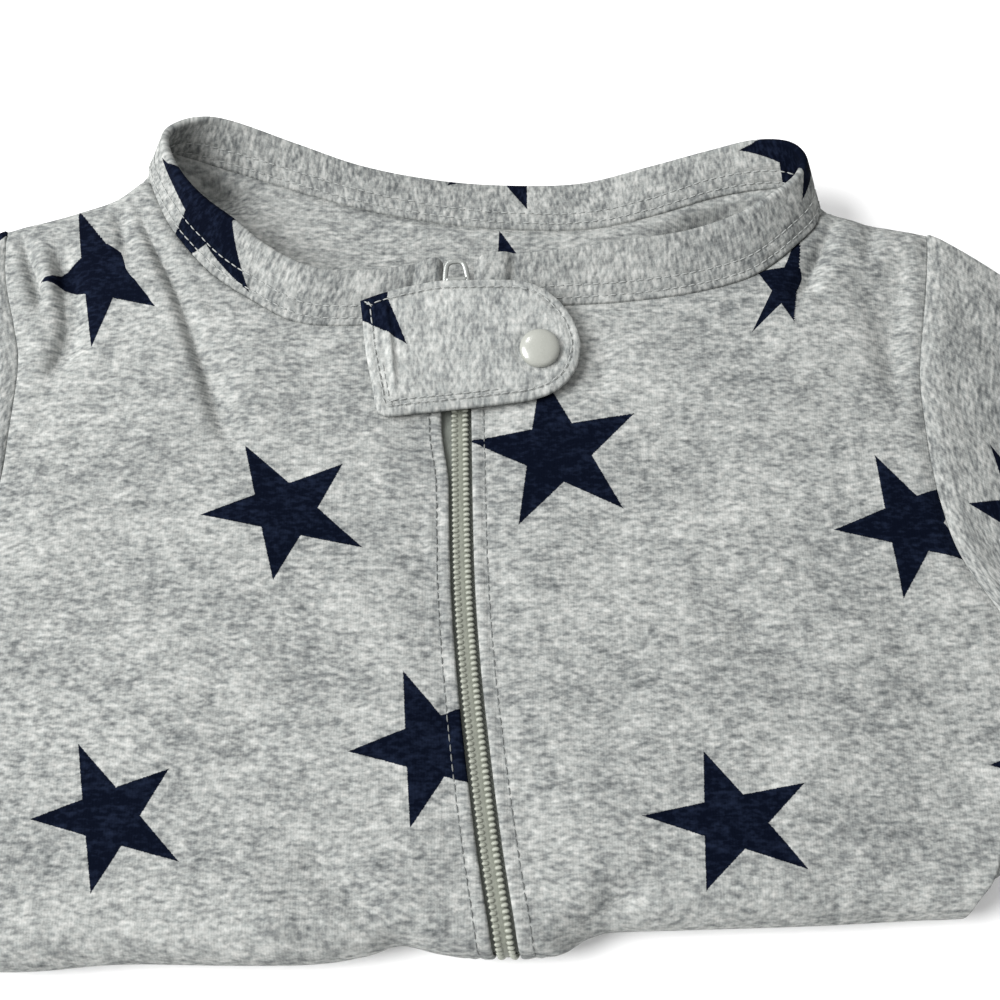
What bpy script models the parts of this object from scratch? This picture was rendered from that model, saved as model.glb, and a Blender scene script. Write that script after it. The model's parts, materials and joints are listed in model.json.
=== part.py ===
"""Footed baby sleepsuit in star-printed jersey, lying face up with its lower half folded under.

The garment is drawn in millimetres, X across the chest, Y towards the neck and Z up from the
surface it lies on. One empty carries every piece and puts the origin under the middle of the
whole garment.
"""
import math

import bpy
import numpy as np

MM = 0.001

# ---------------------------------------------------------------- driving sizes, millimetres
CLOTH = 1.2            # wall of a single layer of jersey
SEAM_GAP = 0.35        # clear space between pieces that are sewn together
PLY_STEP = 1.6         # from the middle of the front to the middle of the back at their seams
ROLL_TOP = 12.4        # height of the front's mid-surface where it turns over the fold
UNDER_MID = CLOTH / 2  # height of the same layer where it lies on the surface
STRIP_END = -68.0      # where the front, turned under, runs on into the hidden layers
FOLD_RADIUS = (ROLL_TOP - UNDER_MID) / 2
UNDERARM = -27.0       # where sleeve, front and back meet

ZIP_SLOT = 2.7         # half the open width between the two fronts
ZIP_COIL_WIDTH = 4.2
ZIP_TOP = 47.0         # top of the fronts' zip edges
TAPE_WIDTH = 6.0
TAPE_WALL = 0.6
TAPE_GAP = 0.5         # from the fronts down to the tapes
COIL_RISE = 0.55       # coil over the fronts' mid-surface
COIL_END = 45.3

BAND_WALL = 2.0
BAND_CLEAR = 0.75      # from the band's lower edge to the body's edge
TAB_WALL = 2.0
CAP_DIAMETER = 9.5
PULL_PIVOT_Y = 50.6
PULL_PIVOT_RISE = 2.9  # over the floor of the slider
PULL_LEAN = 12.0       # degrees above level, where the pull lies on the band's ends
PULL_REACH = 10.4
PULL_TOP = 1.9         # radius of the loop's far end
PULL_WIRE = 0.95
CROWN_SECTION = 1.0
CAP_PLACE = (17.3, 36.3)
TAB_HEIGHT = 18.75     # at the snap
TAB_SLOPE = 0.125      # rise towards the neck
STUD_HEIGHT = 15.9

ARMHOLE_CLEAR = 0.8    # from the body's armhole edge to the sleeve
SLEEVE_SWING = 56.0    # distance over which a sleeve comes down to the surface
SLEEVE_SPREAD = 1.15   # half the distance between a sleeve's two layers
BACK_INSET = 0.6       # the back's side edges, in from the front's
BACK_END = -84.0       # where the back starts to turn over the fold
STACK_TOP = 9.5        # height of the hidden layers
STACK_CORNER = 16.0    # corner radius of the hidden layers
STACK_REACH = 3.7      # radius of the hidden layers inside the fold

# ---------------------------------------------------------------- tables, millimetres
# zip's middle line: place along the front, place across, height over the fold's top
ZIP_LINE = [
    # along,  across, rise
    (-142.0, 14.0, 0.0),
    (-118.0, 12.0, 0.0),
    (-98.0, 9.0, 0.6),
    (-79.0, 5.9, 1.2),
    (-60.0, 3.4, 1.3),
    (-38.0, 1.0, 1.4),
    (-15.0, -0.5, 1.5),
    (22.0, -1.4, 1.9),
    (48.0, -2.0, 3.1),
    (62.0, -2.1, 3.9),
]

# the fold's foremost line, left to right
FOLD_LINE = [
    # across, along
    (-125.0, -100.5),
    (-90.0, -101.0),
    (-70.0, -99.4),
    (-34.0, -99.4),
    (-20.0, -97.8),
    (-12.5, -95.8),
    (-4.0, -97.6),
    (4.0, -98.6),
    (19.0, -98.0),
    (27.0, -94.0),
    (38.0, -92.7),
    (92.0, -91.8),
    (125.0, -91.5),
]

# side seam and armhole of each half, from the hidden end up to the shoulder tip
SIDE = {
    "left": [
        # across,  along, rise
        (-104.0, -142.0, 0.0),
        (-105.5, -118.0, 0.0),
        (-107.5, -104.0, 0.0),
        (-112.0, -92.0, -0.2),
        (-115.5, -80.0, -0.5),
        (-117.5, -60.0, -0.6),
        (-119.3, -42.0, -0.4),
        (-119.8, -27.0, -0.1),
    ],
    "right": [
        (103.0, -142.0, 0.0),
        (104.5, -118.0, 0.0),
        (106.0, -100.0, 0.0),
        (109.5, -91.0, -0.2),
        (113.0, -80.0, -0.5),
        (116.0, -60.0, -0.6),
        (118.5, -42.0, -0.4),
        (119.5, -27.0, -0.1),
    ],
}
ARMHOLE = {
    "left": [
        (-119.8, -27.0, -0.1),
        (-111.0, -13.0, 0.1),
        (-107.6, 2.0, 0.3),
        (-107.0, 20.0, 0.5),
        (-107.2, 36.0, 0.6),
        (-109.5, 46.0, 0.5),
        (-113.6, 60.0, 0.2),
        (-115.5, 74.5, -0.1),
    ],
    "right": [
        (119.5, -27.0, -0.1),
        (112.0, -13.0, 0.1),
        (109.0, 0.0, 0.3),
        (107.8, 14.0, 0.5),
        (108.0, 32.0, 0.6),
        (110.3, 46.0, 0.5),
        (112.6, 58.0, 0.2),
        (114.9, 73.4, -0.1),
    ],
}
# shoulder seam, tip to neck
SHOULDER = {
    "left": [
        (-115.5, 74.5, -0.1),
        (-105.0, 77.6, 0.4),
        (-97.0, 80.3, 0.9),
        (-88.5, 83.6, 1.5),
        (-81.6, 89.6, 1.8),
    ],
    "right": [
        (114.9, 73.4, -0.1),
        (106.0, 75.2, 0.4),
        (98.0, 77.0, 0.9),
        (93.0, 78.6, 1.1),
        (89.2, 80.2, 1.4),
    ],
}
# neckband, from its left end at the zip round the back to its right end
BAND = [
    # seam on the body,      folded top edge
    (-5.6, 48.5, 16.0, -5.8, 61.5, 19.8),
    (-14.0, 46.0, 15.7, -13.0, 59.5, 19.8),
    (-27.0, 44.8, 15.5, -24.5, 58.0, 19.8),
    (-40.5, 46.0, 15.3, -36.5, 58.5, 20.2),
    (-53.0, 53.0, 15.3, -47.5, 63.8, 21.0),
    (-63.5, 61.0, 15.2, -56.0, 70.8, 22.0),
    (-73.0, 73.0, 15.0, -64.5, 77.0, 23.5),
    (-78.0, 83.5, 14.6, -70.5, 83.5, 24.6),
    (-80.5, 91.0, 14.0, -74.0, 90.5, 25.2),
    (-79.0, 95.0, 13.5, -74.0, 96.0, 24.8),
    (-73.5, 96.5, 13.0, -68.0, 100.5, 23.5),
    (-63.0, 93.5, 12.0, -60.0, 101.8, 20.8),
    (-45.0, 87.5, 10.9, -43.5, 98.2, 16.0),
    (-27.0, 82.0, 10.3, -27.0, 93.8, 12.5),
    (-8.0, 78.0, 10.1, -8.0, 91.0, 10.2),
    (10.0, 76.0, 10.1, 10.0, 90.0, 9.3),
    (30.0, 76.0, 10.1, 28.5, 90.3, 9.8),
    (46.0, 79.5, 10.5, 45.5, 93.6, 12.3),
    (62.0, 84.5, 11.5, 60.5, 96.0, 16.0),
    (75.0, 86.5, 12.5, 71.5, 96.5, 19.8),
    (83.0, 85.5, 13.2, 79.5, 93.8, 22.8),
    (87.0, 81.5, 13.8, 82.5, 88.5, 24.2),
    (87.0, 77.0, 14.3, 81.0, 83.5, 24.4),
    (83.5, 71.0, 14.9, 76.5, 79.3, 23.8),
    (70.5, 59.5, 15.4, 66.5, 73.0, 22.2),
    (55.0, 54.0, 15.7, 53.0, 68.3, 21.2),
    (38.0, 51.3, 15.8, 38.0, 66.0, 20.6),
    (24.0, 50.3, 15.8, 24.0, 63.8, 20.2),
    (11.0, 49.5, 15.9, 11.5, 62.4, 20.0),
    (1.6, 49.0, 16.0, 1.8, 61.0, 20.0),
]
BAND_NECK_LEFT = 8     # row at the left shoulder seam
BAND_NECK_RIGHT = 21   # row at the right shoulder seam

# cuff's two ends, upper and lower, where the flat sleeve stops
CUFF = {
    "left": ((-281.0, -36.0), (-246.0, -87.5)),
    "right": ((286.0, -28.0), (252.5, -80.5)),
}

# chin tab's outline, round its free end from the sewn upper corner
TAB_ROWS = [
    # across, lower edge, upper edge
    (-24.8, 20.6, 49.6),
    (-20.0, 20.4, 51.0),
    (-13.0, 20.8, 53.0),
    (-5.0, 21.4, 54.1),
    (4.0, 22.4, 54.3),
    (12.0, 23.4, 54.0),
    (17.0, 24.6, 52.4),
    (21.5, 27.2, 49.2),
    (25.0, 31.2, 44.6),
    (26.6, 34.8, 40.4),
]
# slider's wedge: along, half width, underside and top over its floor
SLIDER_ROWS = [
    (45.8, 1.8, 0.2, 1.4),
    (46.8, 2.1, 0.0, 1.7),
    (52.0, 2.35, 0.0, 1.8),
    (53.4, 2.0, 0.2, 1.5),
]
STACK_STEP = 0.15      # height of the slope between two layers
STACK_GROOVE = 1.1     # how far the groove between two layers goes in
STACK_SHOULDER = 0.25
# layers of the folded stack, lowest first
STACK = [
    # underside, top, half width, edge nearest the neck
    (0.0, 2.7, 104.5, 60.0),
    (2.7, 5.0, 107.0, 64.0),
    (5.0, 7.2, 105.0, 62.0),
    (7.2, STACK_TOP, 108.0, 65.5),
]

CLOTH_GREY = (0.44, 0.45, 0.45)
BAND_GREY = (0.40, 0.41, 0.41)
TAPE_GREY = (0.09, 0.10, 0.095)
COIL_GREY = (0.22, 0.23, 0.215)
PEARL_GREY = (0.55, 0.55, 0.52)
METAL_GREY = (0.60, 0.60, 0.58)


# ---------------------------------------------------------------- curves and heights
def through(points, count):
    """Points spaced evenly along a smooth curve through the given ones."""
    pts = np.array(points, float)
    ends = np.vstack([2 * pts[0] - pts[1], pts, 2 * pts[-1] - pts[-2]])
    fine = []
    for i in range(1, len(ends) - 2):
        a, b, c, d = ends[i - 1], ends[i], ends[i + 1], ends[i + 2]
        for t in np.linspace(0, 1, 16, endpoint=False):
            fine.append(
                0.5
                * (
                    2 * b
                    + (c - a) * t
                    + (2 * a - 5 * b + 4 * c - d) * t**2
                    + (3 * b - a - 3 * c + d) * t**3
                )
            )
    fine = np.array(fine + [pts[-1]])
    run = np.concatenate([[0], np.cumsum(np.linalg.norm(np.diff(fine, axis=0), axis=1))])
    want = np.linspace(0, run[-1], count)
    return np.stack([np.interp(want, run, fine[:, k]) for k in range(pts.shape[1])], axis=1)


def reader(table, key, value):
    """A function that reads one column of a table against another, smoothly."""
    fine = through([(row[key], row[value]) for row in table], 240)
    order = np.argsort(fine[:, 0])
    return lambda at: float(np.interp(at, fine[order, 0], fine[order, 1]))


zip_across = reader(ZIP_LINE, 0, 1)
zip_rise = reader(ZIP_LINE, 0, 2)
fold_front = reader(FOLD_LINE, 0, 1)
side_across = {side: reader(rows, 1, 0) for side, rows in SIDE.items()}
side_rise = {side: reader(rows, 1, 2) for side, rows in SIDE.items()}


def bump(x, y, at, reach, height):
    """A soft mound on the cloth."""
    away = ((x - at[0]) / reach[0]) ** 2 + ((y - at[1]) / reach[1]) ** 2
    return height * math.exp(-away)


def front_puff(x, y):
    """The front's largest soft rises and hollows."""
    return (
        bump(x, y, (-62, -40), (34, 36), 1.0)
        + bump(x, y, (64, -44), (36, 34), 0.9)
        + bump(x, y, (-72, 46), (9, 26), 0.9)
        + bump(x, y, (78, 40), (12, 20), 0.8)
    )


def lay(across, along, rise):
    """Where a point of the front lies: flat on the stack, round the fold, or under it."""
    start = fold_front(across) + FOLD_RADIUS
    past = start - along
    if past <= 0:
        return (across, along, ROLL_TOP + rise)
    middle = ROLL_TOP - FOLD_RADIUS
    if past < math.pi * FOLD_RADIUS:
        turn = past / FOLD_RADIUS
        keep = max(0.0, math.cos(turn / 2))
        reach = FOLD_RADIUS + rise * keep
        return (across, start - reach * math.sin(turn), middle + reach * math.cos(turn))
    return (across, start + past - math.pi * FOLD_RADIUS, UNDER_MID)


def strip_along(across, place):
    """How far along the front a point is that lies under the stack at this place."""
    start = fold_front(across) + FOLD_RADIUS
    return 2 * start - math.pi * FOLD_RADIUS - place


def turn_along(across, turned):
    """How far along the front a point is that has turned this share of the fold."""
    return fold_front(across) + FOLD_RADIUS - turned * math.pi * FOLD_RADIUS


def band_edge(first, last):
    """The body's edge along the band's seam, moved clear of the band."""
    points = []
    for sx, sy, sz, tx, ty, tz in BAND[first : last + 1]:
        seam, top = np.array([sx, sy, sz]), np.array([tx, ty, tz])
        along = (top - seam) / np.linalg.norm(top - seam)
        clear = BAND_CLEAR + CLOTH / 2 * abs(along[2])
        points.append(seam - along * clear)
    return points


# ---------------------------------------------------------------- making solids
def material(name, colour, roughness, metallic=0.0):
    made = bpy.data.materials.new(name)
    made.use_nodes = True
    shader = made.node_tree.nodes["Principled BSDF"]
    shader.inputs["Base Color"].default_value = (*colour, 1.0)
    shader.inputs["Roughness"].default_value = roughness
    shader.inputs["Metallic"].default_value = metallic
    return made


def make(name, points, faces, finish, origin=(0.0, 0.0, 0.0)):
    """One object from points in millimetres, its faces turned outwards."""
    points = np.array(points, float) - np.array(origin, float)
    volume = 0.0
    for face in faces:
        for k in range(1, len(face) - 1):
            a, b, c = points[face[0]], points[face[k]], points[face[k + 1]]
            volume += float(np.dot(a, np.cross(b, c)))
    if volume < 0:
        faces = [tuple(reversed(face)) for face in faces]
    mesh = bpy.data.meshes.new(name)
    mesh.from_pydata([tuple(p * MM) for p in points], [], faces)
    mesh.shade_smooth()
    mesh.set_sharp_from_angle(angle=math.radians(50))
    thing = bpy.data.objects.new(name, mesh)
    mesh.materials.append(finish)
    thing.parent = carrier
    thing.location = [value * MM for value in origin]
    bpy.context.collection.objects.link(thing)
    return thing


def grid_normals(grid):
    """The sheet's own direction outwards at each point of its grid."""
    down = np.gradient(grid, axis=0)
    over = np.gradient(grid, axis=1)
    normals = np.cross(over, down)
    return normals / np.linalg.norm(normals, axis=2, keepdims=True)


def sheet_solid(name, grid, wall, finish):
    """A cloth wall on a grid of mid-surface points."""
    rows, columns = grid.shape[:2]
    offset = grid_normals(grid) * wall / 2
    points = np.concatenate([(grid + offset).reshape(-1, 3), (grid - offset).reshape(-1, 3)])
    under = rows * columns

    def at(r, c):
        return r * columns + c

    faces = []
    for r in range(rows - 1):
        for c in range(columns - 1):
            quad = (at(r, c), at(r, c + 1), at(r + 1, c + 1), at(r + 1, c))
            faces.append(quad)
            faces.append(tuple(under + k for k in reversed(quad)))
    rim = (
        [at(0, c) for c in range(columns)]
        + [at(r, columns - 1) for r in range(1, rows)]
        + [at(rows - 1, c) for c in range(columns - 2, -1, -1)]
        + [at(r, 0) for r in range(rows - 2, 0, -1)]
    )
    for a, b in zip(rim, rim[1:] + rim[:1]):
        faces.append((b, a, under + a, under + b))
    return make(name, points, faces, finish)


def loft_solid(name, rings, finish):
    """A solid through rings of points, with a flat face over each end."""
    rings = np.array(rings, float)
    count, around = rings.shape[:2]
    faces = []
    for r in range(count - 1):
        for k in range(around):
            n = (k + 1) % around
            faces.append((r * around + k, r * around + n, (r + 1) * around + n, (r + 1) * around + k))
    faces.append(tuple(reversed(range(around))))
    faces.append(tuple((count - 1) * around + k for k in range(around)))
    return make(name, rings.reshape(-1, 3), faces, finish)


def turned_solid(name, profile, place, slope, finish, around=24):
    """A round piece from (radius, height) points, lying on a surface that rises along Y."""
    points, faces = [], []
    steps = len(profile)
    for k in range(around):
        angle = 2 * math.pi * k / around
        for r, h in profile:
            x, y = r * math.cos(angle), r * math.sin(angle)
            points.append((place[0] + x, place[1] + y, place[2] + h + slope * y))
    for k in range(around):
        n = (k + 1) % around
        for j in range(steps):
            m = (j + 1) % steps
            faces.append((k * steps + j, n * steps + j, n * steps + m, k * steps + m))
    return make(name, points, faces, finish)


# ---------------------------------------------------------------- the garment's pieces
def front_rows(side, across_count, low_rows, over_rows, neck_rows):
    """Rows of a front, each from the side seam or armhole to the zip or neck."""
    sign = -1 if side == "left" else 1
    share = 1 - np.linspace(1, 0, across_count) ** 1.5
    if side == "left":
        neck = band_edge(0, BAND_NECK_LEFT)
    else:
        neck = band_edge(BAND_NECK_RIGHT, len(BAND) - 1)[::-1]
    neck = [(p[0], p[1], p[2] - ROLL_TOP) for p in neck]
    neck[-1] = SHOULDER[side][-1]

    def zip_edge(along):
        return (zip_across(along) + sign * ZIP_SLOT, along, zip_rise(along))

    rows = []
    for along_at, value in low_rows:
        outer_y = along_at(sign * 105, value)
        outer_y = along_at(side_across[side](outer_y), value)
        a = (side_across[side](outer_y), outer_y, side_rise[side](outer_y))
        b = zip_edge(along_at(zip_across(-100), value))
        row = np.array(a) + share[:, None] * (np.array(b) - np.array(a))
        row[:, 1] = [along_at(x, value) for x in row[:, 0]]
        rows.append(row)

    armhole = through(ARMHOLE[side], over_rows + neck_rows + 1)[1:]
    outer = [tuple(p) for p in armhole]
    inner = [zip_edge(y) for y in np.linspace(UNDERARM, ZIP_TOP, over_rows + 1)[1:]]
    corner = zip_edge(ZIP_TOP)
    inner += [tuple(p) for p in through([corner] + neck[1:], neck_rows + 1)[1:]]
    outer, inner = np.array(outer), np.array(inner)

    run = np.linspace(0, 1, 100)
    seam = through(SHOULDER[side], 100)
    shoulder = np.stack([np.interp(share, run, seam[:, k]) for k in range(3)], axis=1)
    straight = shoulder[0] + share[:, None] * (shoulder[-1] - shoulder[0])
    for r in range(len(outer)):
        lift = ((r + 1) / len(outer)) ** 2
        row = outer[r] + share[:, None] * (inner[r] - outer[r]) + lift * (shoulder - straight)
        rows.append(row)
    return np.array(rows)


def front(side, finish):
    low_rows = [(strip_along, STRIP_END), (strip_along, -79.0)]
    low_rows += [(turn_along, share) for share in np.linspace(1, 0, 9)]
    low_rows += [(lambda x, y: y, y) for y in (-76.0, -60.0, -43.0, UNDERARM)]
    inward = -SEAM_GAP / 2 if side == "right" else SEAM_GAP / 2
    across_count = 11
    grid = []
    for row in front_rows(side, across_count, low_rows, 4, 11):
        swell = np.sin(np.linspace(0, math.pi, across_count))
        grid.append([lay(x + inward, y, h + front_puff(x, y) * k) for (x, y, h), k in zip(row, swell)])
    return sheet_solid(f"front_{side}", np.array(grid), CLOTH, finish)


def back_rows(across_count, low_rows, high_rows):
    """Rows of the back from its left edge to its right, fold to neck."""
    edges = {}
    for side in ("left", "right"):
        inset = BACK_INSET if side == "left" else -BACK_INSET
        side_ys = np.linspace(BACK_END, UNDERARM, low_rows)
        low = [(side_across[side](y) + inset, y, side_rise[side](y)) for y in side_ys]
        edges[side] = np.array(low + [tuple(p) for p in through(ARMHOLE[side], high_rows + 1)[1:]])
    neck = [(p[0], p[1], p[2] - ROLL_TOP) for p in band_edge(BAND_NECK_LEFT, BAND_NECK_RIGHT)]
    top = (
        [(x, y, h - PLY_STEP) for x, y, h in through(SHOULDER["left"], 5)[:-1]]
        + [tuple(p) for p in through(neck[1:-1], across_count - 8)]
        + [(x, y, h - PLY_STEP) for x, y, h in through(SHOULDER["right"], 5)[:-1]][::-1]
    )
    top = np.array(top)
    edges["left"][:, 2] -= PLY_STEP
    edges["right"][:, 2] -= PLY_STEP
    count = len(edges["left"])
    share = (top[:, 0] - top[0, 0]) / (top[-1, 0] - top[0, 0])
    straight = top[0] + share[:, None] * (top[-1] - top[0])
    rows = []
    for r in range(count):
        a, b = edges["left"][r], edges["right"][r]
        row = a + share[:, None] * (b - a)
        lift = max(0.0, (r - low_rows + 1) / (count - low_rows)) ** 2
        row = row + lift * (top - straight)
        above_fold = min(1.0, r / (low_rows - 1))
        for k in range(len(row)):
            fold_start = fold_front(row[k, 0]) + FOLD_RADIUS + 0.8
            row[k, 1] = row[k, 1] * above_fold + fold_start * (1 - above_fold)
        rows.append(row)
    return np.array(rows)


def back(finish):
    rows = back_rows(23, 6, 8)
    grid = rows.copy()
    grid[:, :, 2] += ROLL_TOP
    inside = 1 - np.abs(np.linspace(-1, 1, grid.shape[1])) ** 6
    settle = np.linspace(1, 0, grid.shape[0]) ** 0.25
    level = STACK_TOP + SEAM_GAP + CLOTH / 2 + 0.15
    weight = inside[None, :] * settle[:, None]
    grid[:, :, 2] = grid[:, :, 2] * (1 - weight) + level * weight
    return sheet_solid("back", grid, CLOTH, finish)


def sleeve(side, finish):
    """A flat tube from the armhole to the cuff, coming down to the surface."""
    sign = -1 if side == "left" else 1
    half, stations = 11, 11
    swing = np.linspace(0, math.pi, half)
    spread = (1 - np.cos(swing)) / 2
    armhole = through(ARMHOLE[side][::-1], 200)
    run = np.linspace(0, 1, 200)
    start = np.stack([np.interp(spread, run, armhole[:, k]) for k in range(3)], axis=1)
    upper, lower = np.array(CUFF[side][0]), np.array(CUFF[side][1])
    end = upper + spread[:, None] * (lower - upper)
    heading = end.mean(axis=0) - start[:, :2].mean(axis=0)
    heading /= np.linalg.norm(heading)
    edge = np.gradient(start[:, :2], axis=0)
    away = np.stack([edge[:, 1], -edge[:, 0]], axis=1) / np.linalg.norm(edge, axis=1, keepdims=True)
    away *= np.sign(away @ heading)[:, None]
    start[:, :2] += away * ARMHOLE_CLEAR
    fullness = np.sin(swing) ** 0.35
    grid = []
    for t in np.linspace(0, 1, stations) ** 1.35:
        ring_top, ring_low = [], []
        for k in range(half):
            place = start[k, :2] * (1 - t) + end[k] * t
            gone = np.linalg.norm(place - start[k, :2])
            ease = min(1.0, gone / SLEEVE_SWING)
            drop = ease * ease * (3 - 2 * ease)
            middle = (ROLL_TOP + start[k, 2] - PLY_STEP / 2) * (1 - drop)
            middle += (UNDER_MID + SLEEVE_SPREAD) * drop
            open_by = PLY_STEP / 2 * (1 - drop) + SLEEVE_SPREAD * drop
            ring_top.append((*place, middle + open_by * fullness[k]))
            ring_low.append((*place, middle - open_by * fullness[k]))
        grid.append(ring_top + ring_low[-2:0:-1])
    grid = np.array(grid)
    over = np.roll(grid, -1, axis=1) - np.roll(grid, 1, axis=1)
    down = np.gradient(grid, axis=0)
    normals = np.cross(over, down)
    normals /= np.linalg.norm(normals, axis=2, keepdims=True)
    outer, inner = grid + normals * CLOTH / 2, grid - normals * CLOTH / 2
    around = grid.shape[1]
    points = np.concatenate([outer.reshape(-1, 3), inner.reshape(-1, 3)])
    skin = stations * around
    faces = []
    for r in range(stations - 1):
        for k in range(around):
            n = (k + 1) % around
            quad = (r * around + k, r * around + n, (r + 1) * around + n, (r + 1) * around + k)
            faces.append(quad)
            faces.append(tuple(skin + v for v in reversed(quad)))
    for r in (0, stations - 1):
        for k in range(around):
            n = (k + 1) % around
            quad = (r * around + k, skin + r * around + k, skin + r * around + n, r * around + n)
            faces.append(quad if r == 0 else tuple(reversed(quad)))
    return make(f"sleeve_{side}", points, faces, finish)


def neckband(finish):
    """A folded strip standing round the neck, its rounded edge uppermost."""
    rows = through(BAND, 56)
    seam, top = rows[:, :3], rows[:, 3:]
    ahead = np.gradient((seam + top) / 2, axis=0)
    up = top - seam
    width = np.linalg.norm(up, axis=1, keepdims=True)
    up /= width
    out = np.cross(ahead, up)
    out /= np.linalg.norm(out, axis=1, keepdims=True)
    half = BAND_WALL / 2
    rings = []
    for s, u, o, w in zip(seam, up, out, width[:, 0]):
        section = [(0, -1), (0, 1), (w - 0.8, 1), (w, 0.4), (w, -0.4), (w - 0.8, -1)]
        rings.append([s + u * a + o * b * half for a, b in section])
    return loft_solid("neckband", rings, finish)


def tab_height(y):
    """The tab's mid-surface, which rises towards the neck."""
    return TAB_HEIGHT + TAB_SLOPE * (y - CAP_PLACE[1])


def chin_tab(finish):
    rows = through(TAB_ROWS, 12)
    grid = []
    for x, low, high in rows:
        line = []
        for share in np.linspace(0, 1, 7):
            y = low + share * (high - low)
            sewn_down = 0.5 * math.exp(-((x + 25.0) / 4.0) ** 2)
            line.append((x, y, tab_height(y) - sewn_down))
        grid.append(line)
    return sheet_solid("chin_tab", np.array(grid), TAB_WALL, finish)


def zip_strip(name, left, right, low, high, stations, finish):
    """A strip that follows the zip round the fold, between two heights over the front."""
    rings = []
    for along in stations:
        middle, rise = zip_across(along), zip_rise(along)
        ring = []
        for across, height in ((left, low), (right, low), (right, high), (left, high)):
            base = np.array(lay(middle + across, along, rise))
            ahead = np.array(lay(middle + across, along + 0.5, rise)) - base
            over = np.array(lay(middle + across + 1.0, along, rise)) - base
            normal = np.cross(over, ahead)
            normal /= np.linalg.norm(normal)
            ring.append(base + normal * height)
        rings.append(ring)
    return loft_solid(name, rings, finish)


def zip_pieces(tape_finish, coil_finish):
    bend = list(np.arange(-121, -86, 2.5))
    flat = [-84, -76, -60, -40, -20, 0, 20, 34]
    low = -CLOTH / 2 - TAPE_GAP - TAPE_WALL
    high = low + TAPE_WALL
    tape = [strip_along(zip_across(-135), STRIP_END - 2.5)] + bend + flat + [46, 52, 58]
    zip_strip("zip_tape_left", -TAPE_WIDTH - 0.2, -0.2, low, high, tape, tape_finish)
    zip_strip("zip_tape_right", 0.2, TAPE_WIDTH + 0.2, low, high, tape, tape_finish)
    coil = [strip_along(zip_across(-135), STRIP_END - 2.5)] + bend + flat + [COIL_END]
    half = ZIP_COIL_WIDTH / 2
    zip_strip("zip_coil", -half, half, high + SEAM_GAP, COIL_RISE, coil, coil_finish)


def zip_slider(finish):
    """The slider's wedge with its crown, and the place where the pull hangs on it."""
    x, tilt = zip_across(49), 0.12
    floor = ROLL_TOP + zip_rise(49) - 0.45
    rings = []
    for y, half, low, high in SLIDER_ROWS:
        base = floor + tilt * (y - 49)
        rings.append(
            [
                (x - half, y, base + low),
                (x + half, y, base + low),
                (x + half, y, base + high),
                (x - half, y, base + high),
            ]
        )
    body = loft_solid("zip_slider", rings, finish)

    pivot = (x, PULL_PIVOT_Y, floor + PULL_PIVOT_RISE)
    side = CROWN_SECTION / 2
    arch = [(-1.6, -1.8), (-1.55, 0.5), (-1.0, 1.2), (1.0, 1.2), (1.55, 0.5), (1.6, -1.8)]
    inner = [(-0.85, -1.8), (-0.85, 0.4), (-0.6, 0.75), (0.6, 0.75), (0.85, 0.4), (0.85, -1.8)]
    rings = []
    for (oy, oz), (iy, iz) in zip(arch, inner):
        ring = [(-side, oy, oz), (side, oy, oz), (side, iy, iz), (-side, iy, iz)]
        rings.append([tuple(p + q for p, q in zip(pivot, corner)) for corner in ring])
    crown = loft_solid("slider_crown", rings, finish)
    crown.hide_render = True
    crown.display_type = "WIRE"
    join = body.modifiers.new("crown", "BOOLEAN")
    join.operation = "UNION"
    join.object = crown
    return pivot


def zip_pull(pivot, finish):
    """A stirrup-shaped loop whose crossbar hangs under the slider's crown."""
    lean = math.radians(PULL_LEAN)
    outer = [(0.0, -0.4), (1.9, -0.4), (2.9, 3.6)]
    inner = [(0.0, 0.4), (1.1, 0.4), (1.95, 3.5)]
    turns = np.linspace(0, math.pi / 2, 5)
    outer += [(PULL_TOP * math.cos(a), PULL_REACH - PULL_TOP * (1 - math.sin(a))) for a in turns]
    hollow = PULL_TOP - PULL_WIRE
    inner += [(hollow * math.cos(a), PULL_REACH - PULL_TOP + hollow * math.sin(a)) for a in turns]
    outer += [(-x, y) for x, y in outer[-2:0:-1]]
    inner += [(-x, y) for x, y in inner[-2:0:-1]]
    half = PULL_WIRE * 0.42
    points, faces = [], []
    for (ax, ay), (bx, by) in zip(outer, inner):
        for px, py, pz in ((ax, ay, -half), (ax, ay, half), (bx, by, half), (bx, by, -half)):
            y = py * math.cos(lean) - pz * math.sin(lean)
            z = py * math.sin(lean) + pz * math.cos(lean)
            points.append(np.array(pivot) + np.array([px, y, z]))
    count = len(outer)
    for k in range(count):
        n = (k + 1) % count
        for j in range(4):
            m = (j + 1) % 4
            faces.append((k * 4 + j, n * 4 + j, n * 4 + m, k * 4 + m))
    return make("zip_pull", points, faces, finish, origin=pivot)


def snap(finish, stud_finish):
    """Cap over the tab, socket under it and stud on the right front."""
    x, y = CAP_PLACE
    r = CAP_DIAMETER / 2
    over = tab_height(y) + TAB_WALL / 2 + 0.45
    cap = [(0.02, 0.0), (r - 0.5, 0.0), (r, 0.35), (r, 0.75)]
    cap += [(r - 0.45, 1.15), (r - 0.9, 1.25), (r * 0.5, 1.75), (0.02, 1.95)]
    turned_solid("snap_cap", cap, (x, y, over), TAB_SLOPE, finish)
    under = tab_height(y) - TAB_WALL / 2 - 0.85
    socket = [(2.3, 0.0), (4.2, 0.0), (4.2, 0.5), (2.3, 0.5)]
    turned_solid("snap_socket", socket, (x, y, under), TAB_SLOPE, stud_finish)
    stud = [(0.02, 0.0), (4.0, 0.0), (4.0, 0.4), (1.7, 0.45), (1.7, 1.2), (0.02, 1.25)]
    turned_solid("snap_stud", stud, (x, y, STUD_HEIGHT), TAB_SLOPE / 2, stud_finish)


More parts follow.
